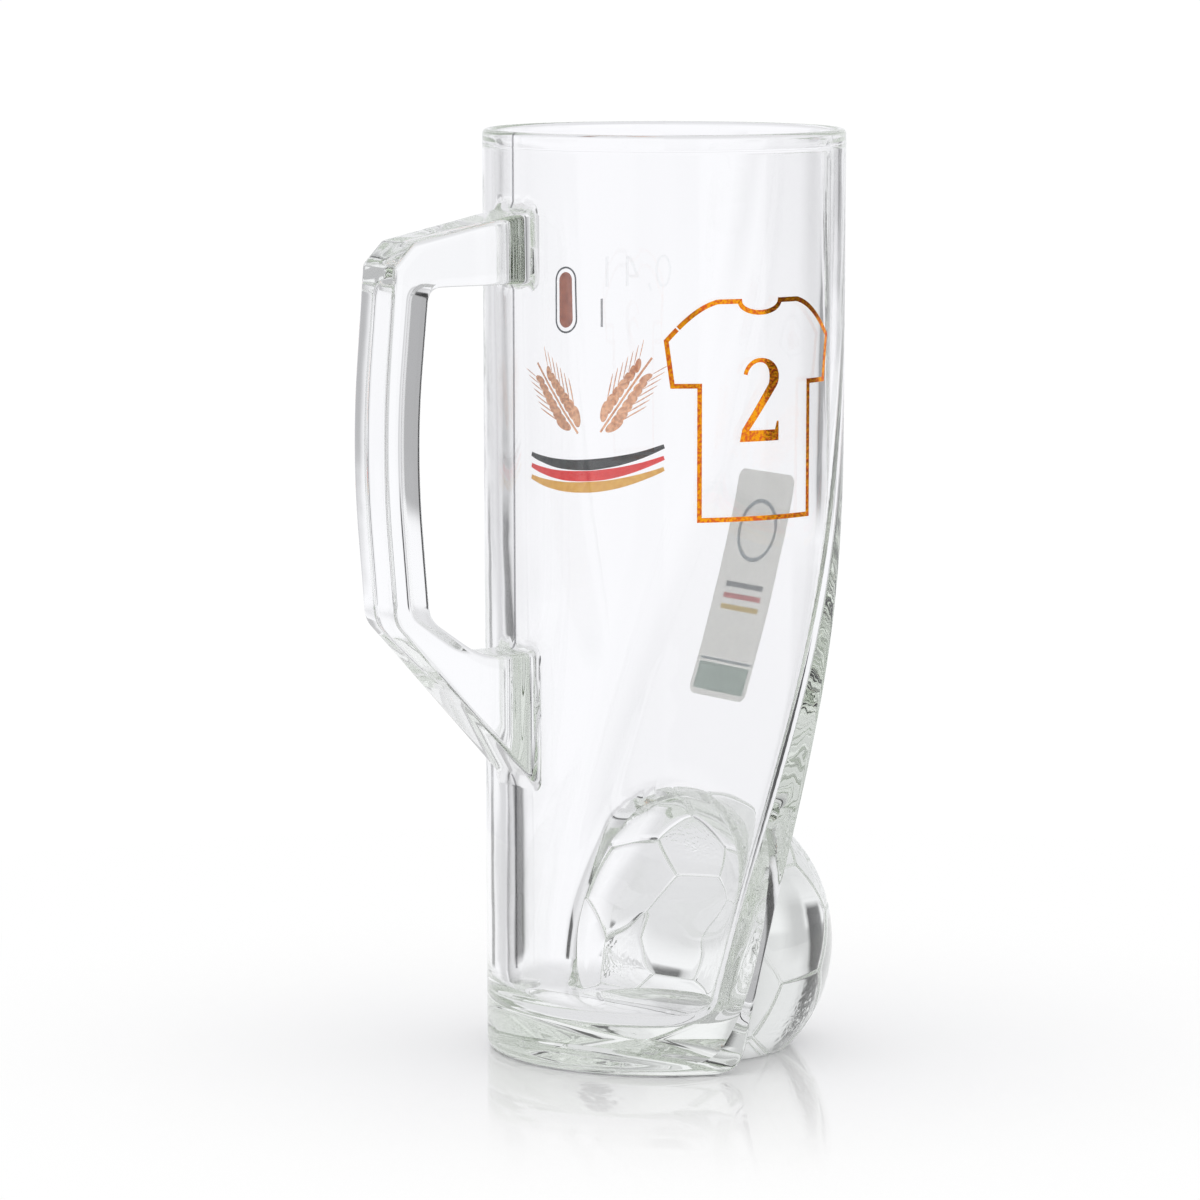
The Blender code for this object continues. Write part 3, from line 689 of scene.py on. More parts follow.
@dataclass(frozen=True)
class GlassBody:
    """The wall, lip, floor and scarf-cut face, drawn as rings."""

    shape: MugShape
    # Pieces of the outlines and of the stack.
    arc_steps: int = 150
    flat_steps: int = 44
    inner_steps: int = 240
    search_steps: int = 26
    hub: float = -0.008
    corner_steps: int = 7
    wall_steps: int = 76
    fillet_steps: int = 9
    lip_steps: int = 12
    # Fine forms: a thin line under the rim, the crest, the sole, the ledge and the floor.
    rim_line_drop: float = 0.0031
    rim_line_height: float = 0.0001
    rim_line_half_width: float = 0.00025
    crest_flat: float = 0.00002
    sole_share: float = 0.96
    ledge_shares: tuple[float, ...] = (0.3, 0.7, 1.0)
    floor_close: float = 1.2

    def section(self, radius: float, offset: float, near: float, far: float) -> list[Vector]:
        """Outline of a round section that is cut flat.

        Args:
            radius: Radius of the round part.
            offset: Distance of the flat part from the axis.
            near: Radius of the corner on the side of the shirt.
            far: Radius of the corner on the other side.

        Returns:
            Points anticlockwise, from the near end of the flat part.
        """
        ends = [math.sqrt((radius - r) ** 2 - (offset - r) ** 2) for r in (near, far)]
        turns = [math.atan2(end, offset - r) for end, r in zip(ends, (near, far))]
        points = [Vector((offset, -ends[0] + sum(ends) * i / self.flat_steps)) for i in range(self.flat_steps)]
        for i in range(self.corner_steps):
            a = turns[1] * i / self.corner_steps
            points.append(Vector((offset - far + far * math.cos(a), ends[1] + far * math.sin(a))))
        for i in range(self.arc_steps):
            a = turns[1] + (math.tau - sum(turns)) * i / self.arc_steps
            points.append(Vector((radius * math.cos(a), radius * math.sin(a))))
        for i in range(self.corner_steps):
            a = -turns[0] * (1 - i / self.corner_steps)
            points.append(Vector((offset - near + near * math.cos(a), -ends[0] + near * math.sin(a))))
        return points

    def cavity(self, z: float, inset: float) -> list[Vector]:
        """Outline of the inside at a height.

        Args:
            z: Height.
            inset: How far the outline is drawn in.

        Returns:
            Points anticlockwise.
        """
        field = self.shape.hollow_at(z)
        outline = []
        for i in range(self.inner_steps):
            a = math.tau * (i + 0.5) / self.inner_steps
            low, high = 0.0, 2 * self.shape.rim_radius
            for _ in range(self.search_steps):
                reach = (low + high) / 2
                if field(self.hub + reach * math.cos(a), reach * math.sin(a)) + inset < 0.0:
                    low = reach
                else:
                    high = reach
            outline.append(Vector((self.hub + low * math.cos(a), low * math.sin(a))))
        return outline

    def lip(self, ways: Sequence[Vector], start: float) -> list[Ring]:
        """Round one side of the lip.

        Args:
            ways: Directions from the axis.
            start: Angle at which this quarter of the rounding starts, nought on the outside.

        Returns:
            Outlines with their heights.
        """
        half = self.shape.rim_wall / 2
        middle = self.shape.height - half
        rings = []
        for i in range(self.lip_steps + 1):
            a = start + math.pi / 2 * i / self.lip_steps
            radius = self.shape.wall_radius(middle) + half * (math.cos(a) - 1)
            rings.append(([way * radius for way in ways], middle + half * math.sin(a)))
        return rings

    def outside(self) -> list[Ring]:
        """Draw the outside, up to the crest of the lip.

        Returns:
            Outlines with their heights.
        """
        s = self.shape
        quarter = [math.pi / 2 * i / self.fillet_steps for i in range(self.fillet_steps)]
        levels = [s.cut_heel * (1 - math.cos(a)) for a in quarter]
        rise = s.cut_top - s.cut_heel
        levels += [s.cut_heel + rise * i / self.wall_steps for i in range(self.wall_steps + 1)]
        rings = []
        for z in levels:
            radius = s.wall_radius(z) - s.rounding(z, s.heel)
            offset = s.cut_offset(z) - s.rounding(z, s.cut_heel)
            far = min(s.far_edge, s.far_run * math.sqrt((radius + offset) / (radius - offset)))
            outline = self.section(radius, offset, s.edge_at(z), far)
            rings.append((outline, z))
        rings.insert(0, ([p * self.sole_share for p in rings[0][0]], 0.0))
        flat = [p.normalized() for p in outline]
        for share in self.ledge_shares:
            z = s.cut_top + s.ledge * share
            ease = smooth(0.0, 1.0, share)
            rings.append(([p.lerp(d * s.wall_radius(z), ease) for p, d in zip(outline, flat)], z))
        line = s.height - self.rim_line_drop
        for side, lift in ((-1, 0.0), (0, self.rim_line_height), (1, 0.0)):
            z = line + side * self.rim_line_half_width
            rings.append(([d * (s.wall_radius(line) + lift) for d in flat], z))
        return rings + self.lip(flat, 0.0)

    def inside(self) -> list[Ring]:
        """Draw the hollow, from above the lip down to the floor.

        Returns:
            Outlines with their heights.
        """
        s = self.shape
        floor_top = s.floor + s.floor_fillet
        depths = [s.cut_top + (floor_top - s.cut_top) * i / self.wall_steps for i in range(self.wall_steps + 1)]
        walls = [(self.cavity(z, 0.0), z) for z in depths]
        flat = [p.normalized() for p in walls[0][0]]
        rings = self.lip(flat, math.pi / 2)
        crest = [p * (1 - self.crest_flat / s.rim_radius) for p in rings[0][0]]
        rings[0] = (crest, s.height)
        rings.insert(0, (crest, s.height + s.rim_wall))
        above = s.cut_top + s.ledge
        rings.append(([d * (s.wall_radius(above) - s.wall_at(above)) for d in flat], above))
        rings += walls
        for i in range(1, self.fillet_steps + 1):
            a = math.pi / 2 * i / self.fillet_steps
            inset = s.floor_fillet * (1 - math.cos(a))
            rings.append((self.cavity(floor_top, inset), floor_top - s.floor_fillet * math.sin(a)))
        rings.append((self.cavity(floor_top, s.floor_fillet * self.floor_close), s.floor))
        return rings

    @staticmethod
    def lofted(name: str, rings: Sequence[Ring]) -> bpy.types.Object:
        """Make the closed mesh through a stack of outlines.

        Args:
            name: Name of the mesh.
            rings: Outlines with their heights.

        Returns:
            The object.
        """
        made = bmesh.new()
        bridge(made, [[made.verts.new((p.x, p.y, z)) for p in outline] for outline, z in rings])
        return mesh_object(name, made)

    def build(self) -> bpy.types.Object:
        """Make the body's outer form, still solid."""
        return self.lofted("mug_glass", self.outside())

    def hollow(self) -> bpy.types.Object:
        """Make the form of the hollow."""
        return self.lofted("hollow_form", self.inside())


@dataclass(frozen=True)
class Football:
    """Half ball with engraved seams and stippled five-sided panels."""

    shape: MugShape
    # Seams, seat and stipple.
    tilt: float = math.radians(21.7)
    seam_half_width: float = 0.00055
    seam_depth: float = 0.00045
    seat: float = 0.0017
    stipple: float = 0.00012
    stipple_size: float = 0.0006
    stipple_run: float = 3.0
    fine_share: float = 0.5
    fine_scale: float = 2.1
    # Pieces of the mesh.
    edge_steps: int = 18
    groove_rings: int = 4
    fine_rings: int = 24
    plain_rings: int = 7
    seat_steps: int = 60
    weld: float = 0.00001

    @property
    def centre(self) -> Vector:
        """Middle of the ball."""
        return Vector((self.shape.ball_middle, 0.0, self.shape.ball_height))

    @property
    def radius(self) -> float:
        """Radius of the ball."""
        return self.shape.ball_radius

    def axes(self) -> list[Vector]:
        """Find the directions of the twelve five-sided panels.

        Returns:
            The directions, the first out and down in the symmetry plane.
        """
        front = Vector((math.cos(self.tilt), 0.0, -math.sin(self.tilt)))
        down = Vector((-math.sin(self.tilt), 0.0, -math.cos(self.tilt)))
        side = Vector((0.0, 1.0, 0.0))
        apart = math.atan(2.0)
        half = [front]
        for i in range(5):
            across = down * math.cos(math.tau * i / 5) + side * math.sin(math.tau * i / 5)
            half.append(front * math.cos(apart) + across * math.sin(apart))
        return half + [-axis for axis in half]

    def panels(self) -> list[tuple[Panel, Vector, list[Vector]]]:
        """Find the panels.

        Returns:
            Kind, middle and corners of each panel, the corners in order round the middle.
        """
        axes = self.axes()
        found = []
        for axis in axes:
            corners = [(2 * axis + b).normalized() for b in axes if b is not axis and axis.dot(b) > 0.0]
            found.append((Panel.STIPPLED, axis, corners))
        for i, a in enumerate(axes):
            for j, b in enumerate(axes[:i]):
                for c in axes[:j]:
                    if min(a.dot(b), b.dot(c), c.dot(a)) > 0.0:
                        corners = [(2 * p + q).normalized() for p in (a, b, c) for q in (a, b, c) if p is not q]
                        found.append((Panel.SMOOTH, (a + b + c).normalized(), corners))
        return [(kind, middle, self.in_order(middle, corners)) for kind, middle, corners in found]

    @staticmethod
    def in_order(middle: Vector, corners: list[Vector]) -> list[Vector]:
        """Sort corners by their angle round a middle direction.

        Args:
            middle: The middle direction.
            corners: The corners' directions.

        Returns:
            The corners in order.
        """
        first = (corners[0] - middle * corners[0].dot(middle)).normalized()
        second = middle.cross(first)
        return sorted(corners, key=lambda corner: math.atan2(corner.dot(second), corner.dot(first)))

    def height_at(self, kind: Panel, direction: Vector, from_seam: float) -> float:
        """Radius of the ball's surface.

        Args:
            kind: Kind of the panel.
            direction: Direction from the ball's middle.
            from_seam: Distance from the nearest seam.

        Returns:
            The radius in that direction.
        """
        groove = self.seam_depth * (1 - smooth(0.0, self.seam_half_width, from_seam))
        if kind is Panel.SMOOTH:
            return self.radius - groove
        place = direction * (self.radius / self.stipple_size)
        rough = noise.noise(place) + self.fine_share * noise.noise(place * self.fine_scale)
        fade = smooth(self.seam_half_width, self.stipple_run * self.seam_half_width, from_seam)
        return self.radius - groove + self.stipple * rough * fade

    def sphere(self) -> bpy.types.Object:
        """Make the whole ball, panel by panel.

        Returns:
            The object.
        """
        made = bmesh.new()
        centre, grooves = self.centre, self.groove_rings
        for kind, middle, corners in self.panels():
            edge = []
            for i, corner in enumerate(corners):
                after = corners[(i + 1) % len(corners)]
                edge += [corner.lerp(after, k / self.edge_steps).normalized() for k in range(self.edge_steps)]
            rings = self.fine_rings if kind is Panel.STIPPLED else self.plain_rings
            loops = []
            for step in range(grooves + 1 + rings):
                loop = []
                for p in edge:
                    span = (p - middle).length * self.radius
                    groove = min(step, grooves) / grooves * self.seam_half_width
                    run = groove + (span - groove) * max(step - grooves, 0) / (rings + 1)
                    direction = p.lerp(middle, run / span).normalized()
                    height = self.height_at(kind, direction, run)
                    loop.append(made.verts.new(centre + direction * height))
                loops.append(loop)
            pole = made.verts.new(centre + middle * self.height_at(kind, middle, self.radius))
            skin(made, loops)
            for i, vert in enumerate(loops[-1]):
                made.faces.new((loops[-1][i - 1], vert, pole))
        bmesh.ops.remove_doubles(made, verts=made.verts, dist=self.weld)
        return mesh_object("football_form", made)

    def build(self) -> bpy.types.Object:
        """Make the half ball, its back inside the glass behind the cut.

        Returns:
            The object.
        """
        ball = self.sphere()
        reach = self.centre.x + 2 * self.radius
        levels = [self.shape.cut_top * i / self.seat_steps for i in range(self.seat_steps + 1)]
        profile = [(self.shape.cut_offset(z) - self.seat, z) for z in levels]
        profile += [(reach, self.shape.cut_top), (reach, 0.0)]
        made = bmesh.new()
        sides = (-2 * self.radius, 2 * self.radius)
        bridge(made, [[made.verts.new((x, y, z)) for x, z in profile] for y in sides])
        combine(ball, mesh_object("football_seat", made), Operation.INTERSECT)
        return ball


@dataclass(frozen=True)
class Handle:
    """Strap handle whose two roots flare into the wall. Drops are measured from its top."""

    shape: MugShape
    # The section and the roots.
    drop: float = 0.0155
    width: float = 0.013
    edge: float = 0.0011
    edge_limit: float = 0.98
    root_depth: float = 0.0013
    flare: float = 0.0018
    # The outer edge, from the upper root down.
    grip_reach: float = 0.0357
    end_reach: float = 0.0326
    thickness: float = 0.0084
    grip_middle: float = 0.048
    bow_radius: float = 0.3
    arm_fall: float = 0.006
    arm_underside: float = 0.0153
    chamfer: float = 0.0046
    chamfer_edge: float = 0.0015
    upper_inner_radius: float = 0.0035
    lower_corner: float = 0.0835
    lower_corner_radius: float = 0.006
    lower_tip: float = 0.1185
    lower_arm_top: float = 0.0915
    bend_reach: float = 0.0115
    bend_radius: float = 0.015
    lower_inner: float = 0.083
    lower_inner_radius: float = 0.006
    # Pieces of the mesh, crowded towards the roots.
    counts: tuple[int, ...] = (26, 14, 34, 12, 34)
    crowding: float = 1.9
    corner_steps: int = 6
    side_steps: int = 6
    arc_steps: int = 10

    def outlines(self) -> tuple[list[list[Vector]], list[list[Vector]]]:
        """Draw the outer and the inner edge of the handle.

        Returns:
            The two edges in five runs each, every point as distance from the axis and drop.
        """
        rim, foot = self.shape.rim_radius, self.shape.foot_radius
        end, reach, root = rim + self.end_reach, rim + self.grip_reach, foot - self.root_depth
        tip_run = (end - root) / (end - foot)
        tip = Vector((root, self.lower_corner + (self.lower_tip - self.lower_corner) * tip_run))
        start = Vector((root, 0.0))
        c1 = Vector((end - self.chamfer, self.arm_fall))
        c2 = Vector((end, self.arm_fall + self.chamfer))
        c3 = Vector((reach, self.grip_middle))
        c4 = Vector((end, self.lower_corner))
        n = self.arc_steps
        f1, f2 = fillet(start, c1, c2, self.chamfer_edge, n), fillet(c1, c2, c3, self.chamfer_edge, n)
        f3, f4 = fillet(c2, c3, c4, self.bow_radius, n), fillet(c3, c4, tip, self.lower_corner_radius, n)
        outer = [[start, f1[0]], f1 + f2, [f2[-1]] + f3 + [f4[0]], f4, [f4[-1], tip]]
        under = Vector((root, self.arm_underside))
        d1 = Vector((end - self.thickness, self.arm_underside))
        d2 = Vector((reach - self.thickness, self.grip_middle))
        d3 = Vector((end - self.thickness, self.lower_inner))
        d4 = Vector((rim + self.bend_reach, self.lower_arm_top))
        last = Vector((root, self.lower_arm_top))
        g1, g2 = fillet(under, d1, d2, self.upper_inner_radius, n), fillet(d1, d2, d3, self.bow_radius, n)
        g3, g4 = fillet(d2, d3, d4, self.lower_inner_radius, n), fillet(d3, d4, last, self.bend_radius, n)
        inner = [[under, g1[0]], g1, [g1[-1]] + g2 + [g3[0]], g3, [g3[-1]] + g4 + [last]]
        return outer, inner

    def stations(self) -> list[tuple[Vector, Vector]]:
        """Step along the handle, closer together near its roots.

        Returns:
            Pairs of an outer and an inner point.
        """
        pairs, last = [], len(self.counts) - 1
        for k, (count, outer, inner) in enumerate(zip(self.counts, *self.outlines())):
            shares = [i / count for i in range(count + 1)]
            if k == 0:
                shares = [share**self.crowding for share in shares]
            if k == last:
                shares = [1 - (1 - share) ** self.crowding for share in shares]
            run = list(zip(resample(outer, shares), resample(inner, shares)))
            pairs += run if k == last else run[:-1]
        return pairs

    def rounded(self, half_height: float) -> list[tuple[Vector, Vector]]:
        """Draw a section with rounded edges.

        Args:
            half_height: Half of its height.

        Returns:
            Points round the section with their outward directions.
        """
        edge = min(self.edge, self.edge_limit * half_height)
        a, b = half_height - edge, self.width / 2 - edge
        corners = ((a, b), (-a, b), (-a, -b), (a, -b))
        points = []
        for k, corner in enumerate(corners):
            core = Vector(corner)
            for i in range(self.corner_steps + 1):
                turn = math.pi / 2 * (k + i / self.corner_steps)
                points.append((core, Vector((math.cos(turn), math.sin(turn)))))
            after = Vector(corners[(k + 1) % 4])
            way = Vector((math.cos(math.pi / 2 * (k + 1)), math.sin(math.pi / 2 * (k + 1))))
            points += [(core.lerp(after, i / self.side_steps), way) for i in range(1, self.side_steps)]
        return [(core + way * edge, way) for core, way in points]

    def build(self) -> bpy.types.Object:
        """Loft the handle along its stations, with its ends inside the wall.

        Returns:
            The object.
        """
        top = self.shape.height - self.drop
        made = bmesh.new()
        loops = []
        pairs = self.stations()
        for index, (outer, inner) in enumerate(pairs):
            middle, up = (outer + inner) / 2, (outer - inner).normalized()
            loop = []
            for point, way in self.rounded((outer - inner).length / 2):
                across = point.y
                flat = middle + up * point.x
                gap = max(math.hypot(flat.x, across) - self.shape.wall_radius(top - flat.y), 0.0)
                # Near the wall the section grows, so that the root flares into it.
                if gap < self.flare:
                    grow = self.flare - math.sqrt(self.flare**2 - (self.flare - gap) ** 2)
                    flat = flat + up * way.x * grow
                    across += way.y * grow
                if index in (0, len(pairs) - 1):
                    inside = self.shape.foot_radius - self.root_depth
                    flat = Vector((math.sqrt(inside**2 - across**2), flat.y))
                loop.append(made.verts.new((-flat.x, across, top - flat.y)))
            loops.append(loop)
        bridge(made, loops)
        return mesh_object("handle_form", made)


@dataclass(frozen=True)
class MugGlass:
    """The pressed glass: wall, ball and handle as one."""

    shape: MugShape
    sharp: float = math.radians(38)

    def build(self) -> bpy.types.Object:
        """Fuse the three forms and dress them as one glass.

        Returns:
            The finished piece.
        """
        body = GlassBody(self.shape)
        glass = body.build()
        combine(glass, Football(self.shape).build(), Operation.UNION)
        combine(glass, Handle(self.shape).build(), Operation.UNION)
        combine(glass, body.hollow(), Operation.DIFFERENCE)
        shaded(glass, self.sharp)
        glass.data.materials.clear()
        glass.data.materials.append(GlassFinish().material())
        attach(glass, ROOT)
        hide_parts("mug_body", "football", "handle")
        return glass


def edges_of(path: Sequence[Vector], widths: Sequence[float], closed: bool) -> list[tuple[Vector, Vector]]:
    """Find the edges of a flat line, mitred at its corners.

    Args:
        path: Points along the middle of the line.
        widths: Width of the line at each point.
        closed: Whether the line runs back to its start.

    Returns:
        The left and right edge point at each point of the path.
    """
    count = len(path)
    edges = []
    for i, here in enumerate(path):
        back = here - path[i - 1] if closed or i > 0 else path[1] - here
        ahead = path[(i + 1) % count] - here if closed or i < count - 1 else back
        one, two = back.normalized().orthogonal(), ahead.normalized().orthogonal()
        across = (one + two).normalized()
        half = widths[i] / 2 / max(across.dot(one), MITRE_LIMIT)
        edges.append((here + across * half, here - across * half))
    return edges


def arc(centre: Vector, radii: tuple[float, float], start: float, turn: float, steps: int) -> list[Vector]:
    """Points along part of an ellipse, both ends included.

    Args:
        centre: Middle of the ellipse.
        radii: Its half width and half height.
        start: Angle of the first point.
        turn: Angle from the first point to the last.
        steps: Pieces of the arc.

    Returns:
        The points in order.
    """
    angles = [start + turn * i / steps for i in range(steps + 1)]
    return [centre + Vector((radii[0] * math.cos(a), radii[1] * math.sin(a))) for a in angles]


class FlatPrint:
    """A flat layer drawn before it is laid on a surface: u across, v up, 0 at its back and 1 at its face."""

    step: float = 0.0009
    tolerance: float = 1e-7

    def __init__(self, name: str) -> None:
        """Start an empty layer."""
        self.name = name
        self.made = bmesh.new()

    def divided(self, corners: Sequence[Vector], closed: bool = False) -> list[Vector]:
        """Divide straight runs between corners.

        Args:
            corners: The corners in order.
            closed: Whether the last run leads back to the first corner.

        Returns:
            Points no further apart than a step.
        """
        points = []
        ahead = list(corners[1:]) + ([corners[0]] if closed else [])
        for first, last in zip(corners, ahead):
            pieces = max(1, math.ceil((last - first).length / self.step))
            points += [first.lerp(last, k / pieces) for k in range(pieces)]
        return points if closed else points + [corners[-1]]

    def line(self, path: Sequence[Vector], widths: Sequence[float] | float, closed: bool = False) -> FlatPrint:
        """Draw a line along a path.

        Args:
            path: Points along its middle.
            widths: One width, or a width at each point.
            closed: Whether it runs back to its start.

        Returns:
            The layer itself.
        """
        spread = [widths] * len(path) if isinstance(widths, float) else widths
        loops = []
        for left, right in edges_of(path, spread, closed):
            corners = ((left, 0.0), (right, 0.0), (right, 1.0), (left, 1.0))
            loops.append([self.made.verts.new((point.x, point.y, face)) for point, face in corners])
        for before, after in zip(loops, loops[1:] + loops[:1] if closed else loops[1:]):
            for k in range(4):
                self.made.faces.new((before[k - 1], before[k], after[k], after[k - 1]))
        if not closed:
            self.made.faces.new(reversed(loops[0]))
            self.made.faces.new(loops[-1])
        return self

    def area(self, outline: Sequence[Vector]) -> FlatPrint:
        """Fill an outline, sliced so that it can bend round the wall.

        Args:
            outline: Points round the area.

        Returns:
            The layer itself.
        """
        made = self.made
        made.faces.new([made.verts.new((point.x, point.y, 0.0)) for point in outline])
        bmesh.ops.triangulate(made, faces=made.faces)
        low, high = min(p.x for p in outline), max(p.x for p in outline)
        slices = math.ceil((high - low) / self.step)
        for i in range(1, slices):
            place = (low + (high - low) * i / slices, 0.0, 0.0)
            parts = made.verts[:] + made.edges[:] + made.faces[:]
            bmesh.ops.bisect_plane(
                made, geom=parts, dist=self.tolerance, plane_co=place, plane_no=(1.0, 0.0, 0.0)
            )
        top = bmesh.ops.extrude_face_region(made, geom=made.faces[:])["geom"]
        for vert in (item for item in top if isinstance(item, bmesh.types.BMVert)):
            vert.co.z = 1.0
        return self

    def done(self) -> bpy.types.Object:
        """Turn the layer into an object."""
        return mesh_object(self.name, self.made)


class NodeTool:
    """A geometry node tree with named inputs."""

    def __init__(self, name: str, inputs: Sequence[tuple[str, str]]) -> None:
        """Start the tree.

        Args:
            name: Name of the tree.
            inputs: Name and socket type of each input after the geometry.
        """
        self.tree = bpy.data.node_groups.new(name, "GeometryNodeTree")
        face = self.tree.interface
        face.new_socket("Geometry", in_out="INPUT", socket_type="NodeSocketGeometry")
        face.new_socket("Geometry", in_out="OUTPUT", socket_type="NodeSocketGeometry")
        self.keys = {}
        for label, kind in inputs:
            self.keys[label] = face.new_socket(label, in_out="INPUT", socket_type=kind).identifier
        self.sheet = NodeSheet(self.tree)
        self.given = self.sheet.add("NodeGroupInput").outputs
        self.result = self.sheet.add("NodeGroupOutput").inputs["Geometry"]

    def use(self, item: bpy.types.Object, values: dict[str, object]) -> None:
        """Run the tree on an object and keep its mesh.

        Args:
            item: The object.
            values: Value of each named input.
        """
        step = item.modifiers.new(self.tree.name, "NODES")
        step.node_group = self.tree
        for label, value in values.items():
            step[self.keys[label]] = value
        baked(item)


class WallWrap(NodeTool):
    """Bends a flat layer round the wall and gives it its finish."""

    def __init__(self, shape: MugShape) -> None:
        """Build the tree for a mug's wall.

        Args:
            shape: Sizes of the mug.
        """
        sizes = ("Azimuth", "Foot Radius", "Rim Radius", "Height", "Lift", "Thickness")
        inputs = [(label, "NodeSocketFloat") for label in sizes] + [("Finish", "NodeSocketMaterial")]
        super().__init__("wall_wrap", inputs)
        self.shape = shape
        sheet, given = self.sheet, self.given
        apart = sheet.add("ShaderNodeSeparateXYZ")
        sheet.join((sheet.add("GeometryNodeInputPosition").outputs["Position"], apart.inputs[0]))
        across, up, face = apart.outputs
        rise = sheet.maths("DIVIDE", up, given["Height"])
        swell = sheet.maths("SUBTRACT", given["Rim Radius"], given["Foot Radius"])
        wall = sheet.maths("MULTIPLY_ADD", swell, rise, given["Foot Radius"])
        layer = sheet.maths("MULTIPLY_ADD", face, given["Thickness"], given["Lift"])
        radius = sheet.maths("ADD", wall, layer)
        turn = sheet.maths("ADD", given["Azimuth"], sheet.maths("DIVIDE", across, given["Rim Radius"]))
        bent = sheet.add("ShaderNodeCombineXYZ")
        kinds = ("SetPosition", "RealizeInstances", "SetMaterial")
        move, real, dress = (sheet.add(f"GeometryNode{kind}") for kind in kinds)
        sheet.join(
            (sheet.maths("MULTIPLY", radius, sheet.maths("COSINE", turn)), bent.inputs[0]),
            (sheet.maths("MULTIPLY", radius, sheet.maths("SINE", turn)), bent.inputs[1]),
            (up, bent.inputs[2]),
            (given["Geometry"], move.inputs["Geometry"]),
            (bent.outputs[0], move.inputs["Position"]),
            (move.outputs["Geometry"], real.inputs["Geometry"]),
            (real.outputs["Geometry"], dress.inputs["Geometry"]),
            (given["Finish"], dress.inputs["Material"]),
            (dress.outputs["Geometry"], self.result),
        )

    def lay(self, item: bpy.types.Object, azimuth: float, layer: Layer, finish: bpy.types.Material) -> None:
        """Bend a flat layer round the wall.

        Args:
            item: The flat layer.
            azimuth: Direction of its middle.
            layer: Where it lies on the glass.
            finish: Its material.
        """
        s = self.shape
        values = {"Foot Radius": s.foot_radius, "Rim Radius": s.rim_radius, "Height": s.height}
        values |= {"Azimuth": azimuth, "Lift": layer.lift, "Thickness": layer.thickness, "Finish": finish}
        self.use(item, values)


@dataclass(frozen=True)
class Layer:
    """Where a print lies: how far its back is off the glass, and its thickness."""

    lift: float = 0.00002
    thickness: float = 0.00006


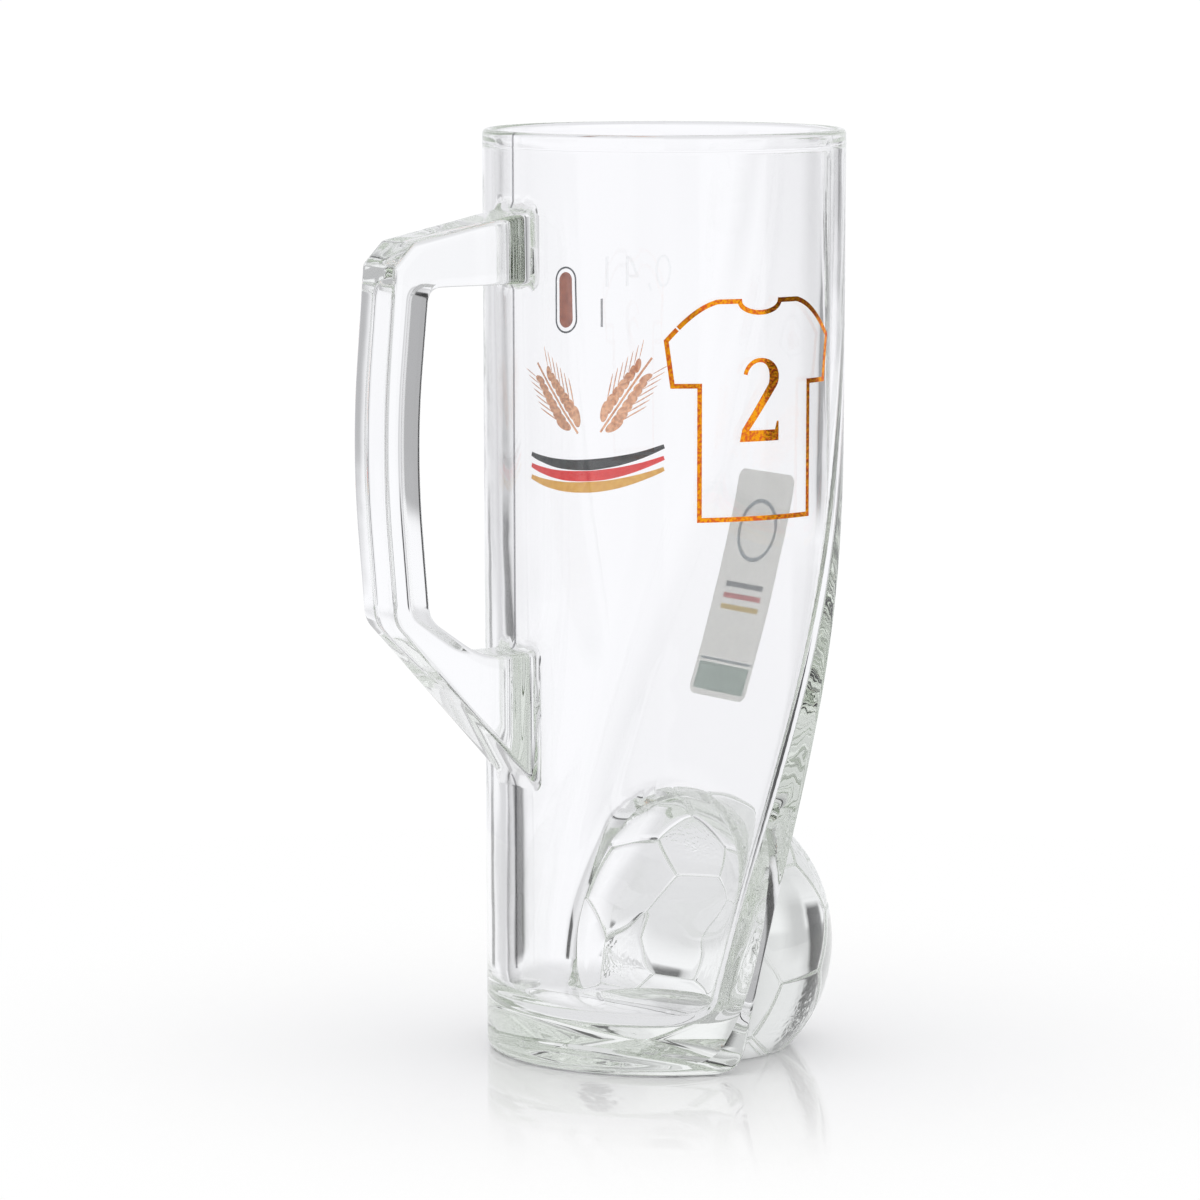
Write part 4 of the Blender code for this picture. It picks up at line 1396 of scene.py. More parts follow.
class EarSpray(NodeTool):
    """Sets grains and awns in two rows along the stem of a barley ear."""

    def __init__(self) -> None:
        """Build the tree."""
        sizes = ("Pitch", "Spread", "Tilt", "Taper", "Grain Width", "Grain Length", "Awn Width", "Awn Length")
        inputs = [("Grains", "NodeSocketInt")] + [(label, "NodeSocketFloat") for label in sizes]
        inputs += [(label, "NodeSocketVector") for label in ("Place", "Turn")]
        inputs += [("Finish", "NodeSocketMaterial")]
        super().__init__("barley_spray", inputs)
        sheet, given = self.sheet, self.given
        stem = sheet.add("GeometryNodeMeshLine")
        pitch = sheet.add("ShaderNodeCombineXYZ")
        index = sheet.add("GeometryNodeInputIndex").outputs[0]
        side = sheet.maths("MULTIPLY_ADD", sheet.maths("MODULO", index, 2.0), 2.0, -1.0)
        shift, turn = sheet.add("ShaderNodeCombineXYZ"), sheet.add("ShaderNodeCombineXYZ")
        rows = sheet.add("GeometryNodeSetPosition")
        share = sheet.maths("DIVIDE", index, given["Grains"])
        size = sheet.maths("MULTIPLY_ADD", share, sheet.maths("MULTIPLY", given["Taper"], -1.0), 1.0)
        kinds = ("JoinGeometry", "Transform", "RealizeInstances", "SetMaterial")
        whole, place, real, dress = (sheet.add(f"GeometryNode{kind}") for kind in kinds)
        sheet.join(
            (given["Grains"], stem.inputs["Count"]),
            (given["Pitch"], pitch.inputs[1]),
            (pitch.outputs[0], stem.inputs["Offset"]),
            (sheet.maths("MULTIPLY", side, given["Spread"]), shift.inputs[0]),
            (sheet.maths("MULTIPLY", side, sheet.maths("MULTIPLY", given["Tilt"], -1.0)), turn.inputs[2]),
            (stem.outputs["Mesh"], rows.inputs["Geometry"]),
            (shift.outputs[0], rows.inputs["Offset"]),
        )
        for width, length, start in (("Grain Width", "Grain Length", 0.0), ("Awn Width", "Awn Length", 1.0)):
            form = self.form(given[width], given[length], sheet.maths("MULTIPLY", given["Grain Length"], start))
            copies = sheet.add("GeometryNodeInstanceOnPoints")
            scale = sheet.add("ShaderNodeCombineXYZ")
            scale.inputs[2].default_value = 1.0
            sheet.join(
                (rows.outputs["Geometry"], copies.inputs["Points"]),
                (form, copies.inputs["Instance"]),
                (turn.outputs[0], copies.inputs["Rotation"]),
                (size, scale.inputs[0]),
                (size, scale.inputs[1]),
                (scale.outputs[0], copies.inputs["Scale"]),
                (copies.outputs["Instances"], whole.inputs[0]),
            )
        sheet.join(
            (given["Geometry"], whole.inputs[0]),
            (whole.outputs["Geometry"], place.inputs["Geometry"]),
            (given["Place"], place.inputs["Translation"]),
            (given["Turn"], place.inputs["Rotation"]),
            (place.outputs["Geometry"], real.inputs["Geometry"]),
            (real.outputs["Geometry"], dress.inputs["Geometry"]),
            (given["Finish"], dress.inputs["Material"]),
            (dress.outputs["Geometry"], self.result),
        )

    def form(self, width: Socket, length: Socket, start: Socket) -> Socket:
        """Flat almond that stands on its lower tip.

        Args:
            width: Its width.
            length: Its length.
            start: Height of its lower tip.

        Returns:
            Its geometry.
        """
        sheet = self.sheet
        disc = sheet.add("GeometryNodeMeshCylinder", fill_type="TRIANGLE_FAN")
        for key, value in (("Vertices", 20), ("Radius", 0.5), ("Depth", 1.0), ("Fill Segments", 3)):
            disc.inputs[key].default_value = value
        fit = sheet.add("GeometryNodeTransform")
        scale, lift = (sheet.add("ShaderNodeCombineXYZ") for _ in range(2))
        scale.inputs[2].default_value = 1.0
        lift.inputs[2].default_value = 0.5
        sheet.join(
            (disc.outputs["Mesh"], fit.inputs["Geometry"]),
            (width, scale.inputs[0]),
            (length, scale.inputs[1]),
            (sheet.maths("MULTIPLY_ADD", length, 0.5, start), lift.inputs[1]),
            (scale.outputs[0], fit.inputs["Scale"]),
            (lift.outputs[0], fit.inputs["Translation"]),
        )
        return fit.outputs["Geometry"]


class Slot(Enum):
    """Material slots of the record that the prints use."""

    GOLD = "gold_print"
    COPPER = "copper_print"
    DARK = "dark_print"
    RED = "red_print"
    YELLOW = "yellow_print"
    BROWN = "brown_enamel"
    GREY = "grey_print"
    RELIEF = "relief_glass"
    PAPER = "label_paper"
    GREEN = "label_green"


class PrintShop:
    """Dresses prints and seats them on the mug."""

    sharp: float = math.radians(40)
    slope_run: float = 0.002

    def __init__(self, shape: MugShape) -> None:
        """Make every finish once.

        Args:
            shape: Sizes of the mug.
        """
        self.shape = shape
        self.wrap = WallWrap(shape)
        # Dark copy of the raised glass: its colour paints shade on the line below the mark.
        self.relief_painted_shade = ReliefFinish("relief_painted_shade", (0.3, 0.3, 0.31)).material()
        self.inks = {
            Slot.DARK: PaperFinish("dark_ink", (0.50, 0.53, 0.56), (0.44, 0.47, 0.50)).material(),
            Slot.RED: PaperFinish("red_ink", (0.95, 0.42, 0.43), (0.90, 0.36, 0.38)).material(),
            Slot.YELLOW: PaperFinish("yellow_ink", (1.0, 0.82, 0.42), (0.95, 0.76, 0.36)).material(),
            Slot.GREY: PaperFinish("grey_ink", (0.66, 0.72, 0.77), (0.60, 0.66, 0.71)).material(),
        }
        self.finishes = {
            Slot.GOLD: LustreFinish("gold_lustre", (0.93, 0.37, 0.012), (0.70, 0.13, 0.03)).material(),
            Slot.COPPER: LustreFinish("copper_lustre", (0.90, 0.50, 0.29), (0.66, 0.30, 0.16)).material(),
            Slot.DARK: EnamelFinish("dark_enamel", (0.012, 0.03, 0.036), (0.006, 0.014, 0.018)).material(),
            Slot.RED: EnamelFinish("red_enamel", (0.98, 0.012, 0.010), (0.85, 0.004, 0.006), 0.85).material(),
            Slot.YELLOW: EnamelFinish("yellow_enamel", (0.98, 0.55, 0.08), (0.85, 0.42, 0.05), 0.85).material(),
            Slot.BROWN: EnamelFinish("brown_enamel", (0.55, 0.17, 0.09), (0.38, 0.10, 0.055), 0.75).material(),
            Slot.GREY: EnamelFinish("grey_enamel", (0.24, 0.27, 0.31), (0.14, 0.16, 0.19)).material(),
            Slot.RELIEF: ReliefFinish().material(),
            Slot.PAPER: PaperFinish("label_paper", (0.88, 0.88, 0.84), (0.82, 0.82, 0.79)).material(),
            Slot.GREEN: PaperFinish("label_green", (0.70, 0.82, 0.78), (0.64, 0.76, 0.72)).material(),
        }

    def seat(self, item: bpy.types.Object, slot: Slot) -> None:
        """Let a finished print ride with the glass in place of its solid.

        Args:
            item: The print.
            slot: Its material slot in the record; not used.
        """
        shaded(item, self.sharp)
        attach(item, ROOT)
        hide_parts(item.name.removesuffix("_print"))
        LOG.info("%s has %d faces", item.name, len(item.data.polygons))

    def on_wall(self, item: bpy.types.Object, azimuth: float, slot: Slot, layer: Layer = Layer()) -> None:
        """Lay a flat print on the wall and seat it."""
        self.wrap.lay(item, azimuth, layer, self.finishes[slot])
        self.seat(item, slot)

    def on_cut(self, item: bpy.types.Object, slot: Slot, layer: Layer) -> None:
        """Lay a flat print on the cut face and seat it.

        Args:
            item: The flat layer.
            slot: Its material slot in the record.
            layer: Where it lies on the glass.
        """
        run = self.slope_run
        for vert in item.data.vertices:
            u, v, face = vert.co
            ahead, behind = self.shape.cut_offset(v + run), self.shape.cut_offset(v - run)
            out = Vector((2 * run, 0.0, behind - ahead)).normalized()
            lift = layer.lift + layer.thickness * face
            vert.co = Vector((self.shape.cut_offset(v), u, v)) + out * lift
        item.data.materials.append(self.inks.get(slot, self.finishes[slot]))
        self.seat(item, slot)


@dataclass(frozen=True)
class ShirtPrint:
    """Football shirt in one gold line round a plain number. Drops are measured from the rim."""

    shape: MugShape
    # The shirt.
    azimuth: float = math.radians(-93.7)
    top_drop: float = 0.0338
    length: float = 0.0446
    line: float = 0.001
    half_body: float = 0.0134
    half_span: float = 0.0203
    half_cuff: float = 0.019
    half_collar: float = 0.0048
    collar_depth: float = 0.0024
    shoulder_fall: float = 0.0079
    cuff_fall: float = 0.0171
    swell: float = 0.0013
    power: float = 1.7
    gap: float = 0.0003
    gap_place: float = 0.14
    # The number.
    number_drop: float = 0.0455
    number_height: float = 0.0171
    number_half_width: float = 0.0047
    thin: float = 0.0009
    thick: float = 0.0024
    foot: float = 0.0023
    serif: float = 0.004
    bowl_start: float = math.radians(170)
    bowl_turn: float = math.radians(205)
    curve_steps: int = 28

    def outline(self) -> list[Vector]:
        """Draw the shirt.

        Returns:
            Points from one end of the gap in its left shoulder to the other.
        """
        top = self.shape.height - self.top_drop
        sleeve, cuff, hem = top - self.shoulder_fall, top - self.cuff_fall, top - self.length
        left = []
        for i in range(self.curve_steps + 1):
            t = i / self.curve_steps
            rise = self.shoulder_fall * (1 - (1 - t) ** self.power) + self.swell * math.sin(math.pi * t)
            u = self.half_span + (self.half_collar - self.half_span) * t
            left.append(Vector((-u, sleeve + min(rise, self.shoulder_fall))))
        radii = (self.half_collar, self.collar_depth)
        collar = arc(Vector((0.0, top)), radii, math.pi, math.pi, self.curve_steps)
        right = [Vector((-p.x, p.y)) for p in reversed(left)]
        side = [(self.half_cuff, cuff), (self.half_body, cuff), (self.half_body, hem)]
        sides = [Vector(p) for p in side] + [Vector((-u, v)) for u, v in reversed(side)]
        cut = round(self.gap_place * self.curve_steps)
        ahead = (left[cut + 1] - left[cut]).normalized() * self.gap
        return [left[cut] + ahead] + left[cut + 1 :] + collar[1:-1] + right + sides + left[: cut + 1]

    def number(self) -> list[Vector]:
        """Draw the number: a swelling bowl, a thin diagonal and a flat foot.

        Returns:
            Points round the number.
        """
        bowl = self.number_half_width - self.thick / 2
        middle = Vector((0.0, self.number_height - self.thin / 2 - bowl))
        path = arc(middle, (bowl, bowl), self.bowl_start, -self.bowl_turn, self.curve_steps)
        angles = [self.bowl_start - self.bowl_turn * i / self.curve_steps for i in range(self.curve_steps + 1)]
        widths = [self.thin + (self.thick - self.thin) * max(math.cos(a), 0.0) ** 2 for a in angles]
        path.append(Vector((-self.number_half_width + self.thin, self.foot)))
        edges = edges_of(path, widths + [self.thin], False)
        first, last = [list(side) for side in zip(*edges)]
        outer, inner = (first, last) if first[0].y > last[0].y else (last, first)
        right, thin = self.number_half_width, self.thin
        foot = [(outer[-1].x + thin, self.foot), (right - thin, self.foot), (right - thin / 2, self.serif)]
        foot += [(right, self.serif), (right, 0.0), (-right, 0.0)]
        base = Vector((0.0, self.shape.height - self.number_drop - self.number_height))
        return [p + base for p in outer[:-1] + [Vector(p) for p in foot] + inner[::-1]]

    def build(self, shop: PrintShop) -> None:
        """Print the shirt and its number.

        Args:
            shop: Dresses and seats the prints.
        """
        shirt = FlatPrint("shirt_outline_print")
        shirt.line(shirt.divided(self.outline()), self.line)
        shop.on_wall(shirt.done(), self.azimuth, Slot.GOLD)
        shop.on_wall(FlatPrint("shirt_number_print").area(self.number()).done(), self.azimuth, Slot.GOLD)


@dataclass(frozen=True)
class EmblemPrint:
    """Two ears of barley over a ribbon of three colours."""

    shape: MugShape
    # The ears.
    azimuth: float = math.radians(82)
    root_drop: float = 0.0665
    length: float = 0.019
    lean: float = math.radians(38)
    spread: float = 0.0035
    grains: int = 14
    row_spread: float = 0.0009
    tilt: float = math.radians(24)
    taper: float = 0.35
    grain_width: float = 0.0021
    grain_length: float = 0.0048
    awn_width: float = 0.00028
    awn_length: float = 0.0062
    stem_width: float = 0.0005
    # The ribbon.
    ribbon_drop: float = 0.0705
    half_length: float = 0.018
    width: float = 0.0023
    pitch: float = 0.0024
    sag: float = 0.0035
    end_width: float = 0.0009
    steps: int = 48

    def ears(self, shop: PrintShop) -> None:
        """Print both ears, each a stem with two rows of grains.

        Args:
            shop: Dresses and seats the prints.
        """
        spray = EarSpray()
        for name, side in (("barley_ear_left", -1), ("barley_ear_right", 1)):
            flat = FlatPrint(f"{name}_print")
            stem = [Vector((0.0, -self.row_spread)), Vector((0.0, self.length))]
            flat.line(flat.divided(stem), self.stem_width)
            item = flat.done()
            sizes = {
                "Grains": self.grains,
                "Pitch": (self.length - self.grain_length) / (self.grains - 1),
                "Spread": self.row_spread,
                "Tilt": self.tilt,
                "Taper": self.taper,
                "Grain Width": self.grain_width,
                "Grain Length": self.grain_length,
                "Awn Width": self.awn_width,
                "Awn Length": self.awn_length,
                "Place": (side * self.spread, self.shape.height - self.root_drop, 0.0),
                "Turn": (0.0, 0.0, -side * self.lean),
                "Finish": shop.finishes[Slot.COPPER],
            }
            spray.use(item, sizes)
            shop.on_wall(item, self.azimuth, Slot.COPPER)

    def build(self, shop: PrintShop) -> None:
        """Print the ears and the ribbon below them.

        Args:
            shop: Dresses and seats the prints.
        """
        self.ears(shop)
        stripes = (("ribbon_dark", Slot.DARK), ("ribbon_red", Slot.RED), ("ribbon_yellow", Slot.YELLOW))
        for k, (name, slot) in enumerate(stripes):
            path, widths = [], []
            for i in range(self.steps + 1):
                t = 2 * i / self.steps - 1
                drop = self.ribbon_drop + k * self.pitch + self.sag * (1 - t * t)
                path.append(Vector((self.half_length * t, self.shape.height - drop)))
                widths.append(self.end_width + (self.width - self.end_width) * math.cos(math.pi / 2 * t))
            shop.on_wall(FlatPrint(f"{name}_print").line(path, widths).done(), self.azimuth, slot)


@dataclass(frozen=True)
class BadgePrint:
    """Small oblong of brown enamel inside a thin line."""

    shape: MugShape
    azimuth: float = math.radians(91)
    drop: float = 0.0385
    half_length: float = 0.0072
    half_width: float = 0.003
    line: float = 0.0004
    margin: float = 0.0008
    steps: int = 20

    def oblong(self, inset: float) -> list[Vector]:
        """Draw an upright oblong with round ends.

        Args:
            inset: How far it is drawn in.

        Returns:
            Points round the oblong.
        """
        radius, run = self.half_width - inset, self.half_length - self.half_width
        middle = self.shape.height - self.drop
        upper = arc(Vector((0.0, middle + run)), (radius, radius), 0.0, math.pi, self.steps)
        lower = arc(Vector((0.0, middle - run)), (radius, radius), math.pi, math.pi, self.steps)
        return upper + lower

    def build(self, shop: PrintShop) -> None:
        """Print the enamel and its line.

        Args:
            shop: Dresses and seats the prints.
        """
        enamel = FlatPrint("badge_enamel_print").area(self.oblong(self.line + self.margin))
        shop.on_wall(enamel.done(), self.azimuth, Slot.BROWN)
        line = FlatPrint("badge_line_print").line(self.oblong(self.line / 2), self.line, closed=True)
        shop.on_wall(line.done(), self.azimuth, Slot.GREY)


@dataclass(frozen=True)
class CapacityMark:
    """Raised capacity mark: a zero, a comma, a four, a stroke for litre, and its line, the line darkened as
    painted shade.
    """

    shape: MugShape
    # The digits and the litre stroke.
    azimuth: float = math.radians(65)
    base_drop: float = 0.036
    digit_height: float = 0.007
    digit_width: float = 0.0036
    zero_place: float = -0.0065
    comma_place: float = -0.0032
    comma_length: float = 0.0015
    four_place: float = 0.0009
    four_post: float = 0.0008
    bar_rise: float = 0.0022
    litre_place: float = 0.0065
    line: float = 0.0005
    gap: float = 0.0003
    # The line below them.
    fill_place: float = 0.0078
    fill_drop: float = 0.0386
    fill_length: float = 0.0061
    zero_steps: int = 40
    # The stroke whose raised glass is darkened as painted shade.
    dark: str = "fill_line"
    layer: Layer = Layer(0.00002, 0.00016)

    def strokes(self) -> list[tuple[str, list[Vector], bool]]:
        """Draw the strokes.

        Returns:
            Name and path of each stroke, and whether it is closed.
        """
        base = self.shape.height - self.base_drop
        half, tall = (self.digit_width - self.line) / 2, self.digit_height - self.line
        middle = Vector((self.zero_place, base + tall / 2))
        zero = arc(middle, (half, tall / 2), 0.0, math.tau, self.zero_steps)[:-1]
        comma = [(self.comma_place, base + self.line)]
        comma += [(self.comma_place - self.line, base + self.line - self.comma_length)]
        post, bar = self.four_place + self.four_post, base + self.bar_rise
        side = post - self.line / 2 - self.gap
        arm = [(side, base + tall), (self.four_place - half, bar), (side, bar)]
        fill = self.shape.height - self.fill_drop
        open_lines = (
            ("mark_comma", comma),
            ("mark_four", [(post, base), (post, base + tall)]),
            ("mark_four_arm", arm),
            ("mark_litre", [(self.litre_place, base), (self.litre_place, base + tall)]),
            ("fill_line", [(self.fill_place, fill), (self.fill_place, fill - self.fill_length)]),
        )
        strokes = [("mark_zero", zero, True)]
        return strokes + [(name, [Vector(p) for p in path], False) for name, path in open_lines]

    def build(self, shop: PrintShop) -> None:
        """Raise each stroke on the wall.

        Args:
            shop: Dresses and seats the prints.
        """
        for name, path, closed in self.strokes():
            flat = FlatPrint(f"{name}_print")
            flat.line(flat.divided(path, closed), self.line, closed)
            stroke = flat.done()
            shop.on_wall(stroke, self.azimuth, Slot.RELIEF, self.layer)
            # This line's raised glass is darkened as painted shade.
            if name == self.dark:
                stroke.data.materials[0] = shop.relief_painted_shade


@dataclass(frozen=True)
class CutLabel:
    """Label on the cut face with a ring, three bars, a rule and a foot band."""

    shape: MugShape
    # The panel, its foot band and its rule.
    drop: float = 0.074
    length: float = 0.048
    width: float = 0.02
    corner: float = 0.002
    band_length: float = 0.0068
    rule: float = 0.0005
    rule_gap: float = 0.0008
    margin: float = 0.0012
    # The ring and the bars.
    ring_drop: float = 0.0125
    ring_radius: float = 0.0068
    ring_line: float = 0.0009
    bar_drop: float = 0.0245
    bar_length: float = 0.013
    bar_width: float = 0.0011
    bar_pitch: float = 0.0024
    corner_steps: int = 8
    ring_steps: int = 72
    paper: Layer = Layer()
    ink: Layer = Layer(0.00005, 0.00005)

    def panel(self) -> tuple[list[Vector], list[float]]:
        """Draw the panel with its corners rounded.

        Returns:
            Points down its middle, and its width at each.
        """
        top = self.shape.height - self.drop
        turns = [math.pi / 2 * i / self.corner_steps for i in range(self.corner_steps)]
        near = [self.corner * (1 - math.cos(a)) for a in turns]
        count = math.ceil((self.length - 2 * self.corner) / FlatPrint.step)
        middle = [self.corner + (self.length - 2 * self.corner) * i / count for i in range(count + 1)]
        stations = near + middle + [self.length - s for s in reversed(near)]
        ends = [min(s, self.length - s) for s in stations]
        widths = [self.width - 2 * self.shape.rounding(end, self.corner) for end in ends]
        return [Vector((0.0, top - s)) for s in stations], widths

    def build(self, shop: PrintShop) -> None:
        """Lay the panel and print its figures.

        Args:
            shop: Dresses and seats the prints.
        """
        top = self.shape.height - self.drop
        bottom, half = top - self.length, self.width / 2 - self.margin
        shop.on_cut(FlatPrint("label_panel_print").line(*self.panel()).done(), Slot.PAPER, self.paper)
        band = FlatPrint("label_foot_band_print")
        ends = [Vector((0.0, bottom + self.band_length)), Vector((0.0, bottom + self.margin))]
        shop.on_cut(band.line(band.divided(ends), 2 * half).done(), Slot.GREEN, self.ink)
        v = bottom + self.band_length + self.rule_gap
        rule = FlatPrint("label_rule_print").line([Vector((-half, v)), Vector((half, v))], self.rule)
        shop.on_cut(rule.done(), Slot.GREY, self.ink)
        radius = self.ring_radius - self.ring_line / 2
        middle = Vector((0.0, top - self.ring_drop))
        circle = arc(middle, (radius, radius), 0.0, math.tau, self.ring_steps)[:-1]
        ring = FlatPrint("label_ring_print").line(circle, self.ring_line, closed=True)
        shop.on_cut(ring.done(), Slot.GREY, self.ink)
        bars = (("bar_dark", Slot.DARK), ("bar_red", Slot.RED), ("bar_yellow", Slot.YELLOW))
        for k, (name, slot) in enumerate(bars):
            v = top - self.bar_drop - k * self.bar_pitch
            ends = [Vector((-self.bar_length / 2, v)), Vector((self.bar_length / 2, v))]
            shop.on_cut(FlatPrint(f"{name}_print").line(ends, self.bar_width).done(), slot, self.ink)


@dataclass(frozen=True)
class DarkPanel:
    """A dark panel of the studio, which only the glass shows.

    The sides are in degrees from straight behind the mug and the heights are those of the direction.
    Of each four numbers, the outer two are where the panel fades out.
    """

    sides: tuple[float, float, float, float]
    heights: tuple[float, float, float, float]
    level: float

    def share(self, sheet: NodeSheet, place: Socket, height: Socket) -> Socket:
        """Find how much of a direction is on the panel.

        Args:
            sheet: Nodes of the world.
            place: Place round the mug, from nought to one.
            height: Height of the direction.

        Returns:
            The share, from nought to one.
        """
        off, on = (0.0, 0.0, 0.0), (1.0, 1.0, 1.0)
        sides = zip((side / 360.0 + 0.5 for side in self.sides), (off, on, on, off))
        heights = zip((value / 2.0 + 0.5 for value in self.heights), (off, on, on, off))
        across = sheet.ramp(place, list(sides), "LINEAR")
        up = sheet.ramp(sheet.maths("MULTIPLY_ADD", height, 0.5, 0.5), list(heights), "LINEAR")
        return sheet.maths("MULTIPLY", across, up)


@dataclass(frozen=True)
class Studio:
    """Camera, floor and soft light. Angles turn to the right from straight behind the mug."""

    # The camera.
    turn: float = math.radians(35)
    camera_distance: float = 1.25
    camera_height: float = 0.2446
    yaw: float = -0.01072
    pitch: float = 0.11927
    focal_pixels: float = 5977.55
    image_pixels: float = 1200.0
    sensor: float = 36.0
    view_end: float = 20.0
    bounces: int = 64
    # The floor, which mirrors near the foot and is blank further out.
    floor_radius: float = 0.3
    floor_drop: float = 0.0002
    floor_sides: int = 96
    gloss: float = 0.32
    gloss_roughness: float = 0.03
    gloss_near: float = 0.04
    gloss_far: float = 0.15
    blank_far: float = 0.2
    # What the glass shows: the table, the dark panels, and limits by height.
    right_table: float = 0.075
    panels: tuple[DarkPanel, ...] = (
        # Dark patch at the ball's side.
        DarkPanel((-63.0, -60.0, -47.5, -45.5), (-0.32, -0.28, 0.45, 0.7), 0.03),
        # Grey six-sided panel of the ball.
        DarkPanel((-45.5, -43.0, -37.0, -30.0), (-0.4, -0.3, -0.1, 0.0), 0.65),
        # Band at the left of the wall.
        DarkPanel((-23.0, -21.0, -15.4, -14.6), (-0.22, -0.18, -0.125, -0.11), 0.03),
        # Line along the near edge of the cut.
        DarkPanel((51.0, 54.0, 80.0, 86.0), (-0.31, -0.28, -0.17, -0.14), 0.05),
    )
    above: tuple[float, float] = (0.45, 0.7)
    below: tuple[float, float] = (-0.16, -0.2)
    deep: tuple[float, float] = (-0.18, -0.5)
    through_above: float = 0.5
    through_below: float = 0.78
    # The light, and levels of the room by angle.
    light: float = 1.02
    tone: Colour = (0.99, 0.99, 1.02)
    through_stops: tuple[tuple[float, float], ...] = (
        (-180.0, 0.75),
        (-120.0, 0.85),
        (-90.0, 0.6),
        (-80.0, 0.45),
        (-60.0, 0.45),
        (-45.5, 0.6),
        (-40.0, 0.85),
        (-30.0, 0.85),
        (-24.0, 0.8),
        (-19.5, 0.7),
        (-13.6, 0.7),
        (-12.6, 0.92),
        (-9.0, 1.0),
        (6.0, 1.0),
        (9.5, 0.88),
        (12.0, 0.88),
        (17.0, 0.86),
        (19.5, 0.7),
        (20.8, 0.1),
        (28.0, 0.1),
        (30.0, 0.6),
        (36.0, 0.75),
        (45.0, 0.8),
        (62.0, 0.9),
        (68.0, 0.5),
        (112.0, 0.45),
        (116.0, 0.9),
        (157.0, 0.9),
        (162.0, 0.7),
        (180.0, 0.75),
    )
    gloss_stops: tuple[tuple[float, float], ...] = (
        (-180.0, 0.75),
        (-120.0, 0.8),
        (-60.0, 0.8),
        (0.0, 1.0),
        (62.0, 0.95),
        (68.0, 0.2),
        (100.0, 0.11),
        (112.0, 0.11),
        (113.5, 1.0),
        (157.0, 1.0),
        (159.0, 0.5),
        (170.0, 0.7),
        (180.0, 0.75),
    )

    def turned(self, x: float, y: float, z: float) -> Vector:
        """Turn a point from the picture's frame to the mug's."""
        c, s = math.cos(self.turn), math.sin(self.turn)
        return Vector((x * c + y * s, -x * s + y * c, z))

    def camera(self) -> None:
        """Place the camera as in the picture."""
        data = bpy.data.cameras.new("camera")
        data.sensor_width = self.sensor
        data.lens = self.focal_pixels * data.sensor_width / self.image_pixels
        data.clip_end = self.view_end
        item = bpy.data.objects.new("camera", data)
        level = math.cos(self.pitch)
        ahead = self.turned(math.sin(self.yaw) * level, math.cos(self.yaw) * level, -math.sin(self.pitch))
        right = self.turned(math.cos(self.yaw), -math.sin(self.yaw), 0.0)
        matrix = Matrix((right, right.cross(ahead), -ahead)).transposed().to_4x4()
        matrix.translation = self.turned(0.0, -self.camera_distance, self.camera_height)
        item.matrix_world = matrix
        bpy.context.scene.collection.objects.link(item)
        bpy.context.scene.camera = item

    def floor(self) -> None:
        """Lay a white floor that mirrors the mug close to its foot."""
        made = bmesh.new()
        bmesh.ops.create_circle(made, cap_ends=True, segments=self.floor_sides, radius=self.floor_radius)
        bmesh.ops.translate(made, verts=made.verts, vec=(0.0, 0.0, -self.floor_drop))
        item = mesh_object("studio_floor", made)
        material, sheet, shader = new_material("floor_white", {})
        material.node_tree.nodes.remove(shader)
        away = sheet.from_axis(sheet.add("ShaderNodeNewGeometry").outputs["Position"])
        matt, gloss = sheet.add("ShaderNodeBsdfDiffuse"), sheet.add("ShaderNodeBsdfGlossy")
        for surface in (matt, gloss):
            surface.inputs["Color"].default_value = (1.0, 1.0, 1.0, 1.0)
        gloss.inputs["Roughness"].default_value = self.gloss_roughness
        blank = sheet.add("ShaderNodeEmission")
        mix, whole = (sheet.add("ShaderNodeMixShader") for _ in range(2))
        sheet.join(
            (sheet.ease(away, (self.gloss_near, self.gloss_far), (self.gloss, 0.0)), mix.inputs["Fac"]),
            (matt.outputs["BSDF"], mix.inputs[1]),
            (gloss.outputs["BSDF"], mix.inputs[2]),
            (sheet.ease(away, (self.gloss_near, self.blank_far)), whole.inputs["Fac"]),
            (mix.outputs["Shader"], whole.inputs[1]),
            (blank.outputs["Emission"], whole.inputs[2]),
            (whole.outputs["Shader"], material.node_tree.nodes["Material Output"].inputs["Surface"]),
        )
        item.data.materials.append(material)
        item.visible_transmission = False

    def world(self) -> None:
        """Light the mug from a white room with darker gaps between its soft panels."""
        world = bpy.data.worlds.new("studio")
        bpy.context.scene.world = world
        world.use_nodes = True
        world.cycles.sampling_method = "NONE"
        sheet = NodeSheet(world.node_tree)
        where = sheet.add("ShaderNodeTexCoord")
        dots = []
        for axis in (self.turned(1.0, 0.0, 0.0), self.turned(0.0, 1.0, 0.0)):
            dot = sheet.add("ShaderNodeVectorMath", operation="DOT_PRODUCT")
            dot.inputs[1].default_value = axis
            sheet.join((where.outputs["Generated"], dot.inputs[0]))
            dots.append(dot.outputs["Value"])
        angle = sheet.maths("ARCTAN2", *dots)
        place = sheet.maths("MULTIPLY_ADD", angle, 1.0 / math.tau, 0.5)
        apart = sheet.add("ShaderNodeSeparateXYZ")
        sheet.join((where.outputs["Generated"], apart.inputs["Vector"]))
        height = apart.outputs["Z"]
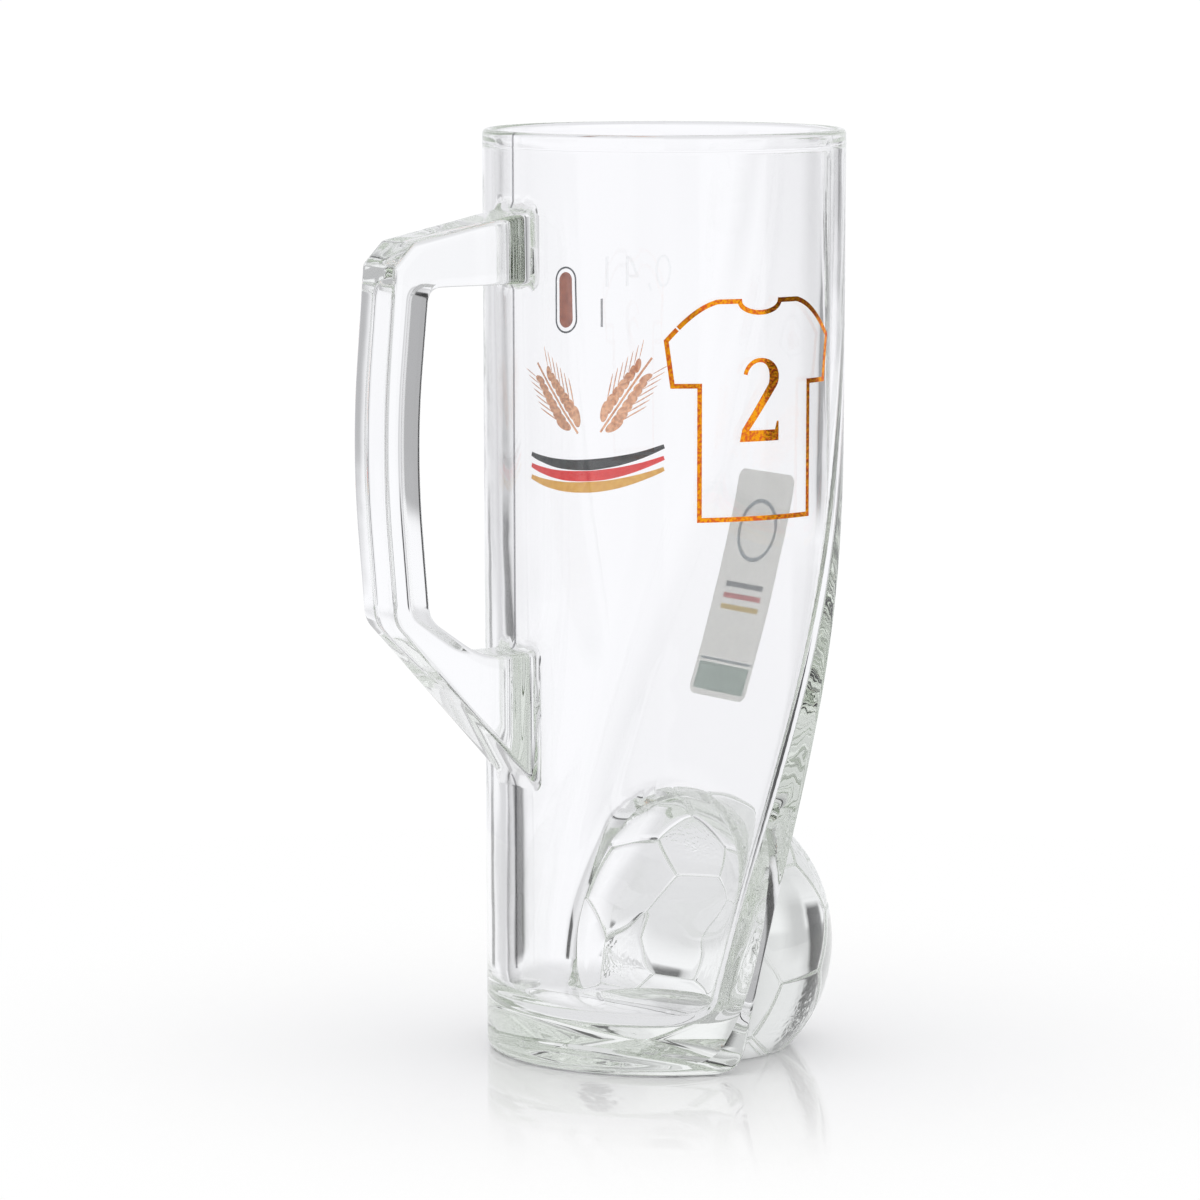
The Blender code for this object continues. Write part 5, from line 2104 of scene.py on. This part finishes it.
        # The white table reaches higher on the right, and greys further down.
        right = sheet.maths("GREATER_THAN", place, 0.5)
        depth = sheet.maths("MULTIPLY_ADD", right, -self.right_table, height)
        ends = (sheet.ease(height, self.above), sheet.ease(depth, self.below), sheet.ease(depth, self.deep))
        path = sheet.add("ShaderNodeLightPath")
        seen = sheet.add("ShaderNodeRGB").outputs["Color"]
        seen.default_value = (self.light, self.light, self.light, 1.0)
        through = (self.through_above, 1.0, self.through_below)
        rays = (
            ("Is Glossy Ray", self.gloss_stops, (1.0, 1.0, 1.0), ()),
            ("Is Transmission Ray", self.through_stops, through, self.panels),
        )
        # Reflections and the glass itself each show the room in their own levels.
        for ray, levels, limits, panels in rays:
            stops = [(side / 360.0 + 0.5, tuple(level * part for part in self.tone)) for side, level in levels]
            shade = sheet.ramp(place, stops, "LINEAR")
            parts = list(zip(ends, limits))
            parts += [(panel.share(sheet, place, height), panel.level) for panel in panels]
            for share, level in parts:
                part = sheet.add("ShaderNodeMix", data_type="RGBA")
                part.inputs["B"].default_value = (*(level * tone for tone in self.tone), 1.0)
                sheet.join((share, part.inputs["Factor"]), (shade, part.inputs["A"]))
                shade = part.outputs["Result"]
            pick = sheet.add("ShaderNodeMix", data_type="RGBA")
            sheet.join(
                (path.outputs[ray], pick.inputs["Factor"]),
                (seen, pick.inputs["A"]),
                (shade, pick.inputs["B"]),
            )
            seen = pick.outputs["Result"]
        sheet.join((seen, world.node_tree.nodes["Background"].inputs["Color"]))

    def build(self) -> None:
        """Set up the whole studio."""
        scene = bpy.context.scene
        scene.view_settings.view_transform = "Standard"
        for kind in ("max", "transmission", "glossy"):
            setattr(scene.cycles, f"{kind}_bounces", self.bounces)
        self.camera()
        self.floor()
        self.world()


def main() -> None:
    """Build the studio and every piece of the mug."""
    logging.basicConfig(level=logging.INFO, format="%(name)s: %(message)s")
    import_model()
    Studio().build()
    shape = MugShape()
    glass = MugGlass(shape).build()
    LOG.info("%s has %d faces", glass.name, len(glass.data.polygons))
    shop = PrintShop(shape)
    for kind in (ShirtPrint, EmblemPrint, BadgePrint, CapacityMark, CutLabel):
        kind(shape).build(shop)


if __name__ == "__main__":
    main()
